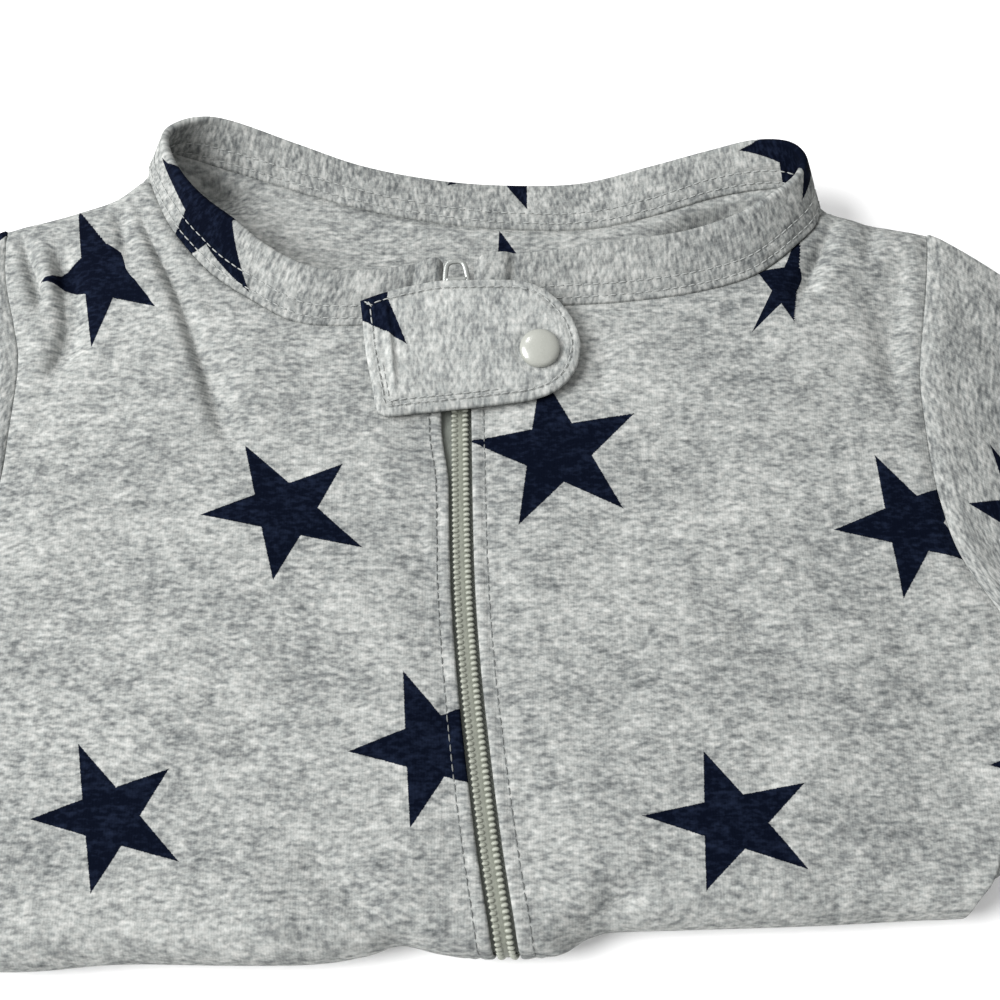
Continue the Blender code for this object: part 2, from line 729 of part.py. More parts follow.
def folded_layers(finish):
    """The hidden lower body, legs and feet as one rounded stack, layered at its edges."""
    fold_middle = ROLL_TOP - FOLD_RADIUS
    corner = STACK_CORNER
    quarter = np.linspace(0, math.pi / 2, 5)

    def south_edge(x, z, under):
        if under:
            return STRIP_END + 2 * SEAM_GAP
        lift = min(abs(z - fold_middle), STACK_REACH)
        return fold_front(x) + FOLD_RADIUS - math.sqrt(max(0.01, STACK_REACH**2 - lift**2))

    def ring(z, half_width, north, under):
        near = half_width - 4
        outline = [(x, south_edge(x, z, under), z) for x in np.linspace(-near, near, 22)]
        start, south = outline[0][1] + 8, outline[-1][1] + 8
        outline += [(half_width, y, z) for y in np.linspace(south, north - corner, 6)]
        for side, angles in ((1, quarter[1:]), (-1, quarter[:0:-1])):
            if side == -1:
                flat = np.linspace(half_width - corner, corner - half_width, 9)[1:-1]
                outline += [(x, north, z) for x in flat]
            for angle in angles:
                x = half_width - corner * (1 - math.cos(angle))
                outline.append((side * x, north - corner * (1 - math.sin(angle)), z))
        outline += [(-half_width, y, z) for y in np.linspace(north - corner, start, 6)]
        return outline

    rings = []
    profile = ((0.0, STACK_GROOVE), (0.25, STACK_SHOULDER), (0.75, STACK_SHOULDER), (1.0, STACK_GROOVE))
    for low, high, half_width, north in STACK:
        lowest = low == STACK[0][0]
        for share, inset in profile:
            z = low + share * (high - low)
            if not lowest and share == 0.0:
                z += STACK_STEP
            rings.append(ring(z, half_width - inset, north - inset, lowest))
    loft_solid("folded_layers", rings, finish)


# ---------------------------------------------------------------- the whole garment
for thing in list(bpy.data.objects):
    bpy.data.objects.remove(thing, do_unlink=True)

carrier = bpy.data.objects.new("sleepsuit", None)
bpy.context.collection.objects.link(carrier)

jersey = material("star_jersey", CLOTH_GREY, 0.9)
band_jersey = material("band_jersey", BAND_GREY, 0.9)
tape_cloth = material("zip_tape", TAPE_GREY, 0.85)
nylon = material("zip_nylon", COIL_GREY, 0.45)
pearl = material("snap_enamel", PEARL_GREY, 0.25)
metal = material("zip_metal", METAL_GREY, 0.35, 0.9)

for half in ("left", "right"):
    front(half, jersey)
    sleeve(half, jersey)
back(jersey)
neckband(band_jersey)
chin_tab(jersey)
zip_pieces(tape_cloth, nylon)
zip_pull(zip_slider(metal), metal)
snap(pearl, metal)
folded_layers(jersey)

bpy.context.view_layer.update()
corners = []
for thing in bpy.data.objects:
    if thing.type == "MESH":
        corners += [thing.matrix_world @ v.co for v in thing.data.vertices]
low = [min(c[k] for c in corners) for k in range(3)]
high = [max(c[k] for c in corners) for k in range(3)]
carrier.location = (-(low[0] + high[0]) / 2, -(low[1] + high[1]) / 2, -low[2])
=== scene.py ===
import json
import math

import bpy
import numpy as np
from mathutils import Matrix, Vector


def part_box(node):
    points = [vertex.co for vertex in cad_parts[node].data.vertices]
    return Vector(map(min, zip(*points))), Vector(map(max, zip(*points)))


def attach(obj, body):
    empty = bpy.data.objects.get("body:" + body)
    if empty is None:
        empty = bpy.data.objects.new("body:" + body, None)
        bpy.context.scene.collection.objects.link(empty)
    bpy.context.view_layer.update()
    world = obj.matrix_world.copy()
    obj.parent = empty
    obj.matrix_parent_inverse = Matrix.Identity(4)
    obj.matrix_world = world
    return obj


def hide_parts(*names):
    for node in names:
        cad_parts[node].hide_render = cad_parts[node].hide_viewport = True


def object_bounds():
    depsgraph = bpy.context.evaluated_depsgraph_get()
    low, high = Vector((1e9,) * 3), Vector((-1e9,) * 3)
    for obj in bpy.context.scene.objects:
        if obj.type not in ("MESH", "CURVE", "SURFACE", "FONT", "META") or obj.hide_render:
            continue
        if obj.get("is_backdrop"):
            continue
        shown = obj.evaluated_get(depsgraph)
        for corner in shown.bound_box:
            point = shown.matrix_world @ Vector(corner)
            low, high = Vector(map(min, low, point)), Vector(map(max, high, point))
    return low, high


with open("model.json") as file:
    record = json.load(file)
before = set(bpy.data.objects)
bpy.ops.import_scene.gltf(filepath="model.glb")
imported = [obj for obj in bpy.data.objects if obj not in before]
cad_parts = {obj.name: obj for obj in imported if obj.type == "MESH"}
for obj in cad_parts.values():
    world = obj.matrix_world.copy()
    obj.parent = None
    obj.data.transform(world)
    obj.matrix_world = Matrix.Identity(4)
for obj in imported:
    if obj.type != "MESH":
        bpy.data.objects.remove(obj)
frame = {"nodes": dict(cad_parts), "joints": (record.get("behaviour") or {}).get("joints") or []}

# A zip sleepsuit folded at the waist, face up. Lengths below are millimetres in the garment's own drawing:
# x across the chest, y up the front towards the neck, z up from the surface.
mm = 0.001
cadLow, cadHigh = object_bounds()
capPlace = (17.3, 36.3)
capLow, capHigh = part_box("snap_cap")
shift = np.array([(capLow[k] + capHigh[k]) / 2 / mm - capPlace[k] for k in (0, 1)] + [0.0])
print("frame loaded, drawing shifted by", [round(float(v), 3) for v in shift])

cloth = {
    "wall": 1.2,
    "rollTop": 12.4,        # middle of the front over the fold
    "under": 0.6,           # the same layer flat on the surface
    "ply": 1.6,             # front down to back
    "hiddenStrip": -68.0,   # where the front runs on into the hidden layers
    "backLevel": 10.2,
    "underarm": -27.0,
}
cloth["foldRadius"] = (cloth["rollTop"] - cloth["under"]) / 2

zipLine = [(-142, 14, 0), (-118, 12, 0), (-98, 9, 0.6), (-79, 5.9, 1.2), (-60, 3.4, 1.3),
           (-38, 1, 1.4), (-15, -0.5, 1.5), (22, -1.4, 1.9), (48, -2, 3.1), (62, -2.1, 3.9)]
foldLine = [(-125, -100.5), (-90, -101), (-70, -99.4), (-34, -99.4), (-20, -97.8), (-12.5, -95.8),
            (-4, -97.6), (4, -98.6), (19, -98), (27, -94), (38, -92.7), (92, -91.8), (125, -91.5)]
sideSeam = {
    "left": [(-104, -142, 0), (-105.5, -118, 0), (-107.5, -104, 0), (-112, -92, -0.2),
             (-115.5, -80, -0.5), (-117.5, -60, -0.6), (-119.3, -42, -0.4), (-119.8, -27, -0.1)],
    "right": [(103, -142, 0), (103.5, -118, 0), (104, -100, 0), (105.8, -90.5, -0.2),
              (111.4, -81, -0.5), (115.6, -60, -0.6), (118.5, -42, -0.4), (119.5, -27, -0.1)],
}
armhole = {
    "left": [(-119.8, -27, -0.1), (-111, -13, 0.1), (-107.6, 2, 0.3), (-107, 20, 0.5),
             (-107.2, 36, 0.6), (-109.5, 46, 0.5), (-113.6, 60, 0.2), (-115.5, 74.5, -0.1)],
    "right": [(119.5, -27, -0.1), (112, -13, 0.1), (109, 0, 0.3), (107.8, 14, 0.5),
              (108, 32, 0.6), (110.3, 46, 0.5), (112.6, 58, 0.2), (114.9, 73.4, -0.1)],
}
shoulder = {
    "left": [(-115.5, 74.5, -0.1), (-105, 77.6, 0.4), (-97, 80.3, 0.9), (-88.5, 83.6, 1.5),
             (-81.6, 89.6, 1.8)],
    "right": [(114.9, 73.4, -0.1), (106, 75.2, 0.4), (98, 77, 0.9), (93, 78.6, 1.1), (89.2, 80.2, 1.4)],
}
cuff = {"left": ((-281, -36), (-246, -87.5)), "right": ((286, -28), (252.5, -80.5))}
# neckband from its left end round the back to its right end: seam on the body, then folded top edge
band = [
    (-5.6, 48.5, 16.0, -5.8, 61.5, 19.8), (-14.0, 46.0, 15.7, -13.0, 59.5, 19.8),
    (-27.0, 44.8, 15.5, -24.5, 58.0, 19.8), (-40.5, 46.0, 15.3, -36.5, 58.5, 20.2),
    (-53.0, 53.0, 15.3, -47.5, 63.8, 21.0), (-63.5, 61.0, 15.2, -56.0, 70.8, 22.0),
    (-73.0, 73.0, 15.0, -64.5, 77.0, 23.5), (-78.0, 83.5, 14.6, -70.5, 83.5, 24.6),
    (-80.5, 91.0, 14.0, -74.0, 90.5, 25.2), (-79.0, 95.0, 13.5, -74.0, 96.0, 24.8),
    (-73.5, 96.5, 13.0, -68.0, 100.5, 23.5), (-63.0, 93.5, 12.0, -60.0, 101.8, 20.8),
    (-45.0, 87.5, 10.9, -43.5, 98.2, 16.0), (-27.0, 82.0, 10.3, -27.0, 93.8, 12.5),
    (-8.0, 78.0, 10.1, -8.0, 91.0, 10.2), (10.0, 76.0, 10.1, 10.0, 90.0, 9.3),
    (30.0, 76.0, 10.1, 28.5, 90.3, 9.8), (46.0, 79.5, 10.5, 45.5, 93.6, 12.3),
    (62.0, 84.5, 11.5, 60.5, 96.0, 16.0), (75.0, 86.5, 12.5, 71.5, 96.5, 19.8),
    (83.0, 85.5, 13.2, 79.5, 93.8, 22.8), (87.0, 81.5, 13.8, 82.5, 88.5, 24.2),
    (87.0, 77.0, 14.3, 81.0, 83.5, 24.4), (83.5, 71.0, 14.9, 76.5, 79.3, 23.8),
    (70.5, 59.5, 15.4, 66.5, 73.0, 22.2), (55.0, 54.0, 15.7, 53.0, 68.3, 21.2),
    (38.0, 51.3, 15.8, 38.0, 66.0, 20.6), (24.0, 50.3, 15.8, 24.0, 63.8, 20.2),
    (11.0, 49.5, 15.9, 11.5, 62.4, 20.0), (1.6, 49.0, 16.0, 1.8, 61.0, 20.0),
]
bandShoulder = {"left": 8, "right": 21}   # rows at the shoulder seams


# ---- curves, folds and creases
def through(points, count):
    # evenly spaced points on a smooth curve through the given ones
    pts = np.array(points, float)
    ends = np.vstack([2 * pts[0] - pts[1], pts, 2 * pts[-1] - pts[-2]])
    t = np.linspace(0, 1, 16, endpoint=False)[:, None]
    fine = []
    for a, b, c, d in zip(ends, ends[1:], ends[2:], ends[3:]):
        fine.append(0.5 * (2 * b + (c - a) * t + (2 * a - 5 * b + 4 * c - d) * t**2
                           + (3 * b - a - 3 * c + d) * t**3))
    fine = np.vstack(fine + [pts[-1:]])
    run = np.concatenate([[0], np.cumsum(np.linalg.norm(np.diff(fine, axis=0), axis=1))])
    want = np.linspace(0, run[-1], count)
    return np.stack([np.interp(want, run, fine[:, k]) for k in range(pts.shape[1])], axis=1)


def reader(table, key, value):
    # reads one column of a table against another
    fine = through([(row[key], row[value]) for row in table], 240)
    fine = fine[np.argsort(fine[:, 0])]
    return lambda at: np.interp(at, fine[:, 0], fine[:, 1])


zipAcross, zipRise = reader(zipLine, 0, 1), reader(zipLine, 0, 2)
foldFront = reader(foldLine, 0, 1)
sideAcross = {side: reader(rows, 1, 0) for side, rows in sideSeam.items()}
sideRise = {side: reader(rows, 1, 2) for side, rows in sideSeam.items()}


def lay(across, along, rise):
    # where a point of the front lies: flat, round the fold, or under it
    radius, top = cloth["foldRadius"], cloth["rollTop"]
    start = foldFront(across) + radius
    past = start - along
    turn = np.clip(past / radius, 0, math.pi)
    reach = radius + rise * np.maximum(0, np.cos(turn / 2))
    y = np.where(past <= 0, along, start - reach * np.sin(turn))
    y = np.where(past >= math.pi * radius, start + past - math.pi * radius, y)
    z = np.where(past <= 0, top + rise, top - radius + reach * np.cos(turn))
    z = np.where(past >= math.pi * radius, cloth["under"], z)
    return np.stack([across + 0 * y, y, z], axis=-1)


def smooth(value, low, high):
    t = np.clip((value - low) / (high - low), 0, 1)
    return t * t * (3 - 2 * t)


def mound(x, y, at, reach, height):
    return height * np.exp(-((x - at[0]) / reach[0]) ** 2 - ((y - at[1]) / reach[1]) ** 2)


def ridge(distance, at, reach, height):
    # a ridge along a given distance, or a groove where its height is below nothing
    return height * np.exp(-(((distance - at) / reach) ** 2))


def nearLine(x, y, line):
    # distance to a line, the hand of it that a point is on, and how far along it as a share
    best = np.full(x.shape, 1e9)
    hand, place = np.zeros(x.shape), np.zeros(x.shape)
    for k, (a, b) in enumerate(zip(line, line[1:])):
        step = b - a
        t = np.clip(((x - a[0]) * step[0] + (y - a[1]) * step[1]) / (step @ step), 0, 1)
        away = np.hypot(x - a[0] - t * step[0], y - a[1] - t * step[1])
        closer = away < best
        side = step[0] * (y - a[1]) - step[1] * (x - a[0])
        best = np.where(closer, away, best)
        hand = np.where(closer, side, hand)
        place = np.where(closer, (k + t) / (len(line) - 1), place)
    return best, hand, place


def creaseLift(x, y, crease):
    # a soft trough or ridge from its path, its height and its reach on either hand, fading at its ends
    path, height, reach = crease
    best, hand, place = nearLine(x, y, through(path, 20))
    fade = smooth(place, -0.02, 0.25) * smooth(1 - place, -0.02, 0.3)
    return ridge(best, 0, np.where(hand > 0, *reach), height) * fade


def wander(x, y, size, seed):
    # slow unevenness of limp cloth, from a few long waves
    draw = np.random.default_rng(seed)
    total = 0
    for _ in range(7):
        angle, wave = draw.uniform(0, math.pi), size * draw.uniform(0.6, 1.7)
        phase = draw.uniform(0, 2 * math.pi)
        total = total + np.sin((x * math.cos(angle) + y * math.sin(angle)) * 2 * math.pi / wave + phase)
    return total / 7


# ---- meshes
def toScene(name, data):
    thing = bpy.data.objects.new(name, data)
    bpy.context.scene.collection.objects.link(thing)
    return thing


def toMesh(name, points, quads, uv=None, starUv=None):
    # a face that names a corner twice running is a triangle
    single = quads != np.roll(quads, 1, axis=1)
    faces = quads.tolist() if single.all() else [q[keep].tolist() for q, keep in zip(quads, single)]
    mesh = bpy.data.meshes.new(name)
    mesh.from_pydata(((np.asarray(points) + shift) * mm).tolist(), [], faces)
    corner = np.zeros(len(mesh.loops), np.int32)
    mesh.loops.foreach_get("vertex_index", corner)
    if uv is not None:
        layer = mesh.uv_layers.new(name="cloth")
        layer.data.foreach_set("uv", (np.asarray(uv)[corner] * mm).astype(np.float32).ravel())
    if starUv is not None:
        layer = mesh.uv_layers.new(name="star")
        layer.data.foreach_set("uv", starUv[single].astype(np.float32).ravel())
    mesh.shade_smooth()
    mesh.validate()
    return toScene(name, mesh)


def outward(points, quads):
    # the same faces, turned so that their solid's volume is positive
    a, b, c, d = (points[quads[:, k]] for k in range(4))
    volume = np.einsum("ij,ij->i", a, np.cross(b, c)).sum() + np.einsum("ij,ij->i", a, np.cross(c, d)).sum()
    return quads if volume > 0 else quads[:, ::-1]


def gridQuads(rows, columns, around=False):
    r, c = np.meshgrid(np.arange(rows - 1), np.arange(columns if around else columns - 1), indexing="ij")
    n = (c + 1) % columns
    return np.stack([r * columns + c, r * columns + n, (r + 1) * columns + n, (r + 1) * columns + c],
                    axis=-1).reshape(-1, 4)


def gridNormals(grid, around=False):
    down = np.gradient(grid, axis=0)
    over = np.roll(grid, -1, axis=1) - np.roll(grid, 1, axis=1) if around else np.gradient(grid, axis=1)
    normal = np.cross(over, down)
    return normal / np.maximum(np.linalg.norm(normal, axis=2, keepdims=True), 1e-9)


def closedTube(grid):
    # a tube's points and faces, its first and last rows drawn together at two more points
    rows, columns = grid.shape[:2]
    points = np.vstack([grid.reshape(-1, 3), grid[0].mean(axis=0), grid[-1].mean(axis=0)])
    k = np.arange(0, columns, 2)
    n, far = (k + 1) % columns, np.minimum(k + 2, columns) % columns   # a triangle where one is left over
    pole, last = np.full(len(k), rows * columns), (rows - 1) * columns
    first = np.stack([pole, far, n, k], axis=1)
    end = np.stack([pole + 1, last + k, last + n, last + far], axis=1)
    return points, outward(points, np.vstack([gridQuads(rows, columns, around=True), first, end]))


def starCorners(uv, quads, stars, shown=True):
    # each corner's place in the frame of the star nearest its face, one unit to a point of the star
    far = np.full((len(quads), 4, 2), 9.0)
    shown = np.broadcast_to(shown, len(quads))
    if len(stars):
        table = np.array([tuple(s) + (star["size"], 1.0, 0.0, 0.0, 0.0)[len(s) - 3:] for s in stars])
        middle = uv[quads].mean(axis=1)
        away = np.linalg.norm(middle[:, None, :] - table[None, :, :2], axis=2) / table[None, :, 3]
        near = table[np.argmin(away, axis=1)][:, None]
        off = uv[quads] - near[..., :2]
        c, s = np.cos(np.radians(near[..., 2])), np.sin(np.radians(near[..., 2]))
        ahead, aside = off[..., 0] * c + off[..., 1] * s, off[..., 1] * c - off[..., 0] * s
        turned = np.stack([ahead - aside * near[..., 5], aside / near[..., 4]], axis=-1) / near[..., 3:4]
        # a point of the star whose cloth is taken in by a fold shows shorter
        point = np.stack([np.cos(np.radians(near[..., 6])), np.sin(np.radians(near[..., 6]))], axis=-1)
        past = np.maximum(np.sum(turned * point, axis=-1, keepdims=True) - 0.3, 0)
        turned = turned + point * past * near[..., 7:8]
        far = np.where(shown[:, None, None], turned, far)
    return far


def shell(name, grid, uv, edge, stars=(), around=False, inside=False):
    # a cloth wall on a grid of middle points, its free edges rounded: edge is each point's distance to one
    rows, columns = grid.shape[:2]
    half = cloth["wall"] / 2
    close = np.clip(edge / half, 0, 1)
    thick = half * np.sqrt(np.clip(1 - (1 - close) ** 2, 0.02, 1))
    normal = gridNormals(grid, around)
    if around:   # the first layer is the outer one
        inward = grid.mean(axis=1, keepdims=True) - grid
        normal = normal * (-1 if (normal * inward).sum() > 0 else 1)
    elif normal[rows // 2:, :, 2].sum() < 0:
        normal = -normal
    offset = normal * thick[..., None]
    points = np.concatenate([(grid + offset).reshape(-1, 3), (grid - offset).reshape(-1, 3)])
    quads = gridQuads(rows, columns, around)
    lower = quads[:, ::-1] + rows * columns
    index = np.arange(rows * columns).reshape(rows, columns)
    if around:
        rims = [np.append(index[0], index[0, 0]), np.append(index[-1], index[-1, 0])[::-1]]
    else:
        rims = [np.concatenate([index[0], index[1:, -1], index[-1, -2::-1], index[-2::-1, 0]])]
    rim = [np.stack([loop[1:], loop[:-1], loop[:-1] + rows * columns, loop[1:] + rows * columns], axis=1)
           for loop in rims]
    every = np.concatenate([quads, lower] + rim)
    flat = np.concatenate([uv.reshape(-1, 2)] * 2)
    shown = np.ones(len(every), bool)
    if not inside:
        shown[len(quads):2 * len(quads)] = False
    turned = outward(points, every)
    starUv = starCorners(flat, turned, stars, shown)
    return toMesh(name, points, turned, flat, starUv)


# ---- the star print
star = {
    "size": 18.5,      # centre to point
    "waist": 0.39,     # inner corners, as a share of that
    "turn": 20.0,      # degrees the print leans anticlockwise
    "repeat": (64, 66), "stagger": (31, 7), "apart": 52,
}


def starTable(places, turn=None):
    # each place is x and y, and where a star differs its lean, size, breadth, slant,
    # and the direction of a point that lies in a fold with how much of it is taken in
    lean = star["turn"] if turn is None else turn
    return [(p[0], p[1], 90 + (p[2] if len(p) > 2 else lean), *p[3:]) for p in places]


def starField(lowX, highX, lowY, highY):
    # the same staggered repeat for cloth that lies out of sight
    stepX, stepY = star["repeat"]
    found = []
    for r in range(int((highY - lowY) / stepY) + 2):
        for k in range(int((highX - lowX) / stepX) + 2):
            x = lowX + stepX * k + star["stagger"][0] * (r % 2)
            y = lowY + stepY * r + star["stagger"][1] * (1 if k % 2 else -1)
            if x < highX and y < highY:
                found.append((x, y))
    return found


# ---- fronts
frontLook = {
    "step": 1.15,          # length of a face of the cloth
    "across": 116,         # a front's usual breadth
    "zipTop": 47.0,        # where its edge leaves the zip for the neck
    "zipOpen": 2.7,        # middle of the zip to a front's folded edge
    "zipWiden": 1.6,       # how far the left edge draws back under the chin tab
    "stitchIn": 3.0,       # topstitch from the folded edge
    "deepen": 1.45,        # how strongly the creases are drawn
    "mounds": [            # fullness: place, reach each way, height
        ((-62, -40), (34, 36), 1.0), ((64, -44), (36, 34), 0.9), ((-72, 46), (9, 26), 0.9),
        ((78, 40), (12, 20), 0.8),
    ],
    "limpCorner": ((116, -80), (34, 46), -1.7),
    # ridges and grooves along an edge: distance from it, reach, height
    "sideRidges": [(0, 1.9, -0.5), (4.5, 3, 0.3)],
    "shoulderRidge": (0, 2.2, -1.3),
    "neckRidge": (0, 1.2, -0.95),
    "zipRidges": [(1.2, 1.1, 0.22), (4.2, 0.9, 0.12), (3.0, 0.45, -0.3), (5.4, 0.5, -0.16)],
    "pucker": (2.6, 2.6, 0.1),
}
frontCreases = {   # path, height, reach on either hand
    "left": [
        ([(-84, 84), (-77, 68), (-70, 53), (-65, 40), (-61, 29), (-57, 18), (-52, 8)], -1.9, (5.5, 1.7)),
        ([(-80, 84), (-73, 68), (-66, 53), (-61, 40), (-57, 28)], 0.8, (2.2, 5.0)),
        ([(-88, 80), (-85, 70), (-82, 60)], -0.9, (2.5, 2.0)),
        ([(-102, 70), (-98, 56), (-96, 43), (-100, 28)], -2.3, (4.2, 2.4)),
        ([(-112, 74), (-109, 66), (-105, 56), (-104, 48)], -1.8, (1.8, 2.2)),
        ([(-106, 72), (-103, 62), (-101, 52)], 0.6, (1.8, 1.8)),
        ([(-104, 18), (-106, 4), (-108, -12)], -0.7, (4.0, 6.0)),
        ([(-5, 5), (-8, -3), (-8, -10), (-6, -16), (-5, -20)], 0.35, (0.7, 1.0)),
        ([(-6, 3), (-9.6, -4), (-9.6, -11), (-7, -18)], -0.22, (0.8, 0.8)),
        ([(-90, -8), (-74, -20), (-58, -30), (-46, -40)], -0.55, (7, 9)),
        ([(-60, -42), (-48, -52), (-38, -62)], -0.5, (5, 6)),
        ([(-34, -78), (-22, -88), (-14, -95)], -0.8, (3.5, 4)),
        ([(-46, -84), (-38, -92), (-34, -99)], 0.5, (4, 4)),
        ([(-104, -40), (-98, -58), (-98, -76)], -0.4, (6, 5)),
        ([(-30, 30), (-40, 24), (-46, 16)], -0.35, (4, 4)),
        ([(-20, -20), (-30, -28), (-36, -40)], 0.3, (6, 6)),
    ],
    "right": [
        ([(92, 82), (88.5, 72), (85.5, 63), (81.5, 55), (79, 46)], -1.6, (2.4, 3.0)),
        ([(83, 60), (85, 54), (88, 50)], -0.6, (1.2, 1.4)),
        ([(102, 79), (100, 71), (97, 63)], -0.7, (2.4, 2.8)),
        ([(99, 66), (99, 52), (101, 38), (103, 24)], -0.9, (5, 5)),
        ([(109, 70), (106, 54), (105, 36), (105, 18)], -0.9, (4, 5)),
        ([(58, -30), (69, -37), (78, -42)], -0.45, (3.5, 4)),
        ([(30, 44), (33, 34), (30, 24)], -0.4, (2.2, 3.0)),
        ([(17, -99), (24, -94), (32, -89), (40, -86)], -1.1, (4.0, 3.0)),
        ([(22, -90), (30, -84), (40, -80)], 0.5, (5, 4)),
        ([(70, -82), (86, -85), (100, -82)], -0.5, (4, 6)),
        ([(40, 10), (60, 6), (82, 10)], -0.25, (7, 8)),
        ([(52, -12), (60, -24), (60, -38)], -0.3, (6, 6)),
        ([(90, -20), (100, -36), (104, -56)], -0.4, (6, 6)),
    ],
}
frontStars = {
    "left": starTable([
        (-40.8, -2.8, 32, 19.2, 0.92, 0.18), (-73.2, -72, 28, 17.4, 0.9, 0.14), (-6.3, -57.3, 22, 17.8),
        (-89, 60.6, 24, 21.8, 0.7, -0.17, -72, 8), (-40, -140), (-104, -138)]),
    "right": starTable([
        (21.2, 11.8, 10, 20.5), (56.3, -73, 20, 15.6, 1.17, 0.15), (101.6, -5.8, 23, 18.3),
        (77.7, 56.8, -18.5, 16.8, 0.47, -0.6, -72, 8), (130.3, -60), (30, -136), (92, -142)]),
}


def bandSeam(side):
    # the body's edge under the band, from the zip or the back out to the shoulder seam
    rows = band[:bandShoulder["left"] + 1] if side == "left" else band[bandShoulder["right"]:][::-1]
    if side == "back":
        rows = band[bandShoulder["left"]:bandShoulder["right"] + 1]
    centre = np.array([2.0, 72.0])
    points = []
    for row in rows:
        seam, top = np.array(row[:3], float), np.array(row[3:])
        along = (top - seam) / np.linalg.norm(top - seam)
        point = seam + along * 0.35
        if side == "back":   # the back's edge laps a little inside the band
            toward = (centre - point[:2]) / np.linalg.norm(centre - point[:2])
            point = seam + along * 1.2 * abs(along[2]) + np.append(toward * 0.9 * abs(along[2]), 0.3)
        points.append(point)
    return np.array(points) - (0, 0, cloth["rollTop"])


def spacedShare(length, step):
    # shares of a row, with the close steps that a rounded edge needs at its ends
    fine = np.array([0, 0.12, 0.3, 0.6, 1.1, 1.9])
    inset = 2.9
    body = np.linspace(inset, length - inset, int((length - 2 * inset) / step))
    return np.concatenate([fine, body, length - fine[::-1]]) / length


def zipEdge(side, along):
    sign = -1 if side == "left" else 1
    open_ = frontLook["zipOpen"] + (frontLook["zipWiden"] * smooth(along, 3, 19) if side == "left" else 0)
    return np.stack([zipAcross(along) + sign * open_, along + 0 * open_, zipRise(along) + 0 * open_], axis=-1)


def frontGrid(side):
    step = frontLook["step"]
    sign = -1 if side == "left" else 1
    share = spacedShare(frontLook["across"], step)
    radius = cloth["foldRadius"]
    strip = lambda x: 2 * (foldFront(x) + radius) - math.pi * radius - cloth["hiddenStrip"]
    turned = lambda x, part: foldFront(x) + radius - part * math.pi * radius
    levels = [(lambda x, t=t: strip(x) + t * (turned(x, 1) - strip(x))) for t in np.linspace(0, 1, 20)]
    levels += [(lambda x, t=t: turned(x, t)) for t in np.linspace(1, 0, 20)[1:]]
    levels += [(lambda x, t=t: turned(x, 0) + t * (cloth["underarm"] - turned(x, 0)))
               for t in np.linspace(0, 1, 58)[1:]]
    rows = []
    for level in levels:
        outerY = level(sign * 105.0)
        outerY = level(sideAcross[side](outerY))
        a = np.array([sideAcross[side](outerY), outerY, sideRise[side](outerY)])
        b = zipEdge(side, level(zipAcross(-100.0)))
        row = a + share[:, None] * (b - a)
        row[:, 1] = [level(x) for x in row[:, 0]]
        rows.append(row)
    # above the underarm: armhole against zip edge, then against the neck
    overPart, neckPart = 4 / 15, 11 / 15
    zipTop = frontLook["zipTop"]
    neck = bandSeam(side)
    neck[-1] = shoulder[side][-1]
    outerLine = through(armhole[side], 300)
    neckLine = through(np.vstack([zipEdge(side, zipTop), neck[1:]]), 300)
    run = np.linspace(0, 1, 300)
    at = lambda line, t: np.array([np.interp(t, run, line[:, k]) for k in range(3)])
    seam = through(shoulder[side], 300)
    top = np.stack([np.interp(share, run, seam[:, k]) for k in range(3)], axis=1)
    straight = top[0] + share[:, None] * (top[-1] - top[0])
    over = np.linspace(0, overPart, int(74 / step))[1:]
    up = overPart + np.linspace(0, neckPart, int(108 / step))[1:]
    for t in np.concatenate([over, up]):
        outer = at(outerLine, t)
        if t <= overPart + 1e-9:
            inner = zipEdge(side, cloth["underarm"] + t / overPart * (zipTop - cloth["underarm"]))
        else:
            inner = at(neckLine, (t - overPart) / neckPart)
        rows.append(outer + share[:, None] * (inner - outer) + t * t * (top - straight))
    return np.array(rows), share, len(levels) + len(over) - 1


def edgeDistance(flat):
    # distance of each point to the grid's left, right and top edges and to the nearest, along the cloth
    across = np.linalg.norm(np.diff(flat, axis=1), axis=2)
    run = np.concatenate([np.zeros((len(flat), 1)), np.cumsum(across, axis=1)], axis=1)
    down = np.linalg.norm(np.diff(flat, axis=0), axis=2)
    climb = np.concatenate([np.cumsum(down[::-1], axis=0)[::-1], np.zeros((1, flat.shape[1]))])
    toRight = run[:, -1:] - run
    return run, toRight, climb, np.minimum(np.minimum(run, toRight), climb)


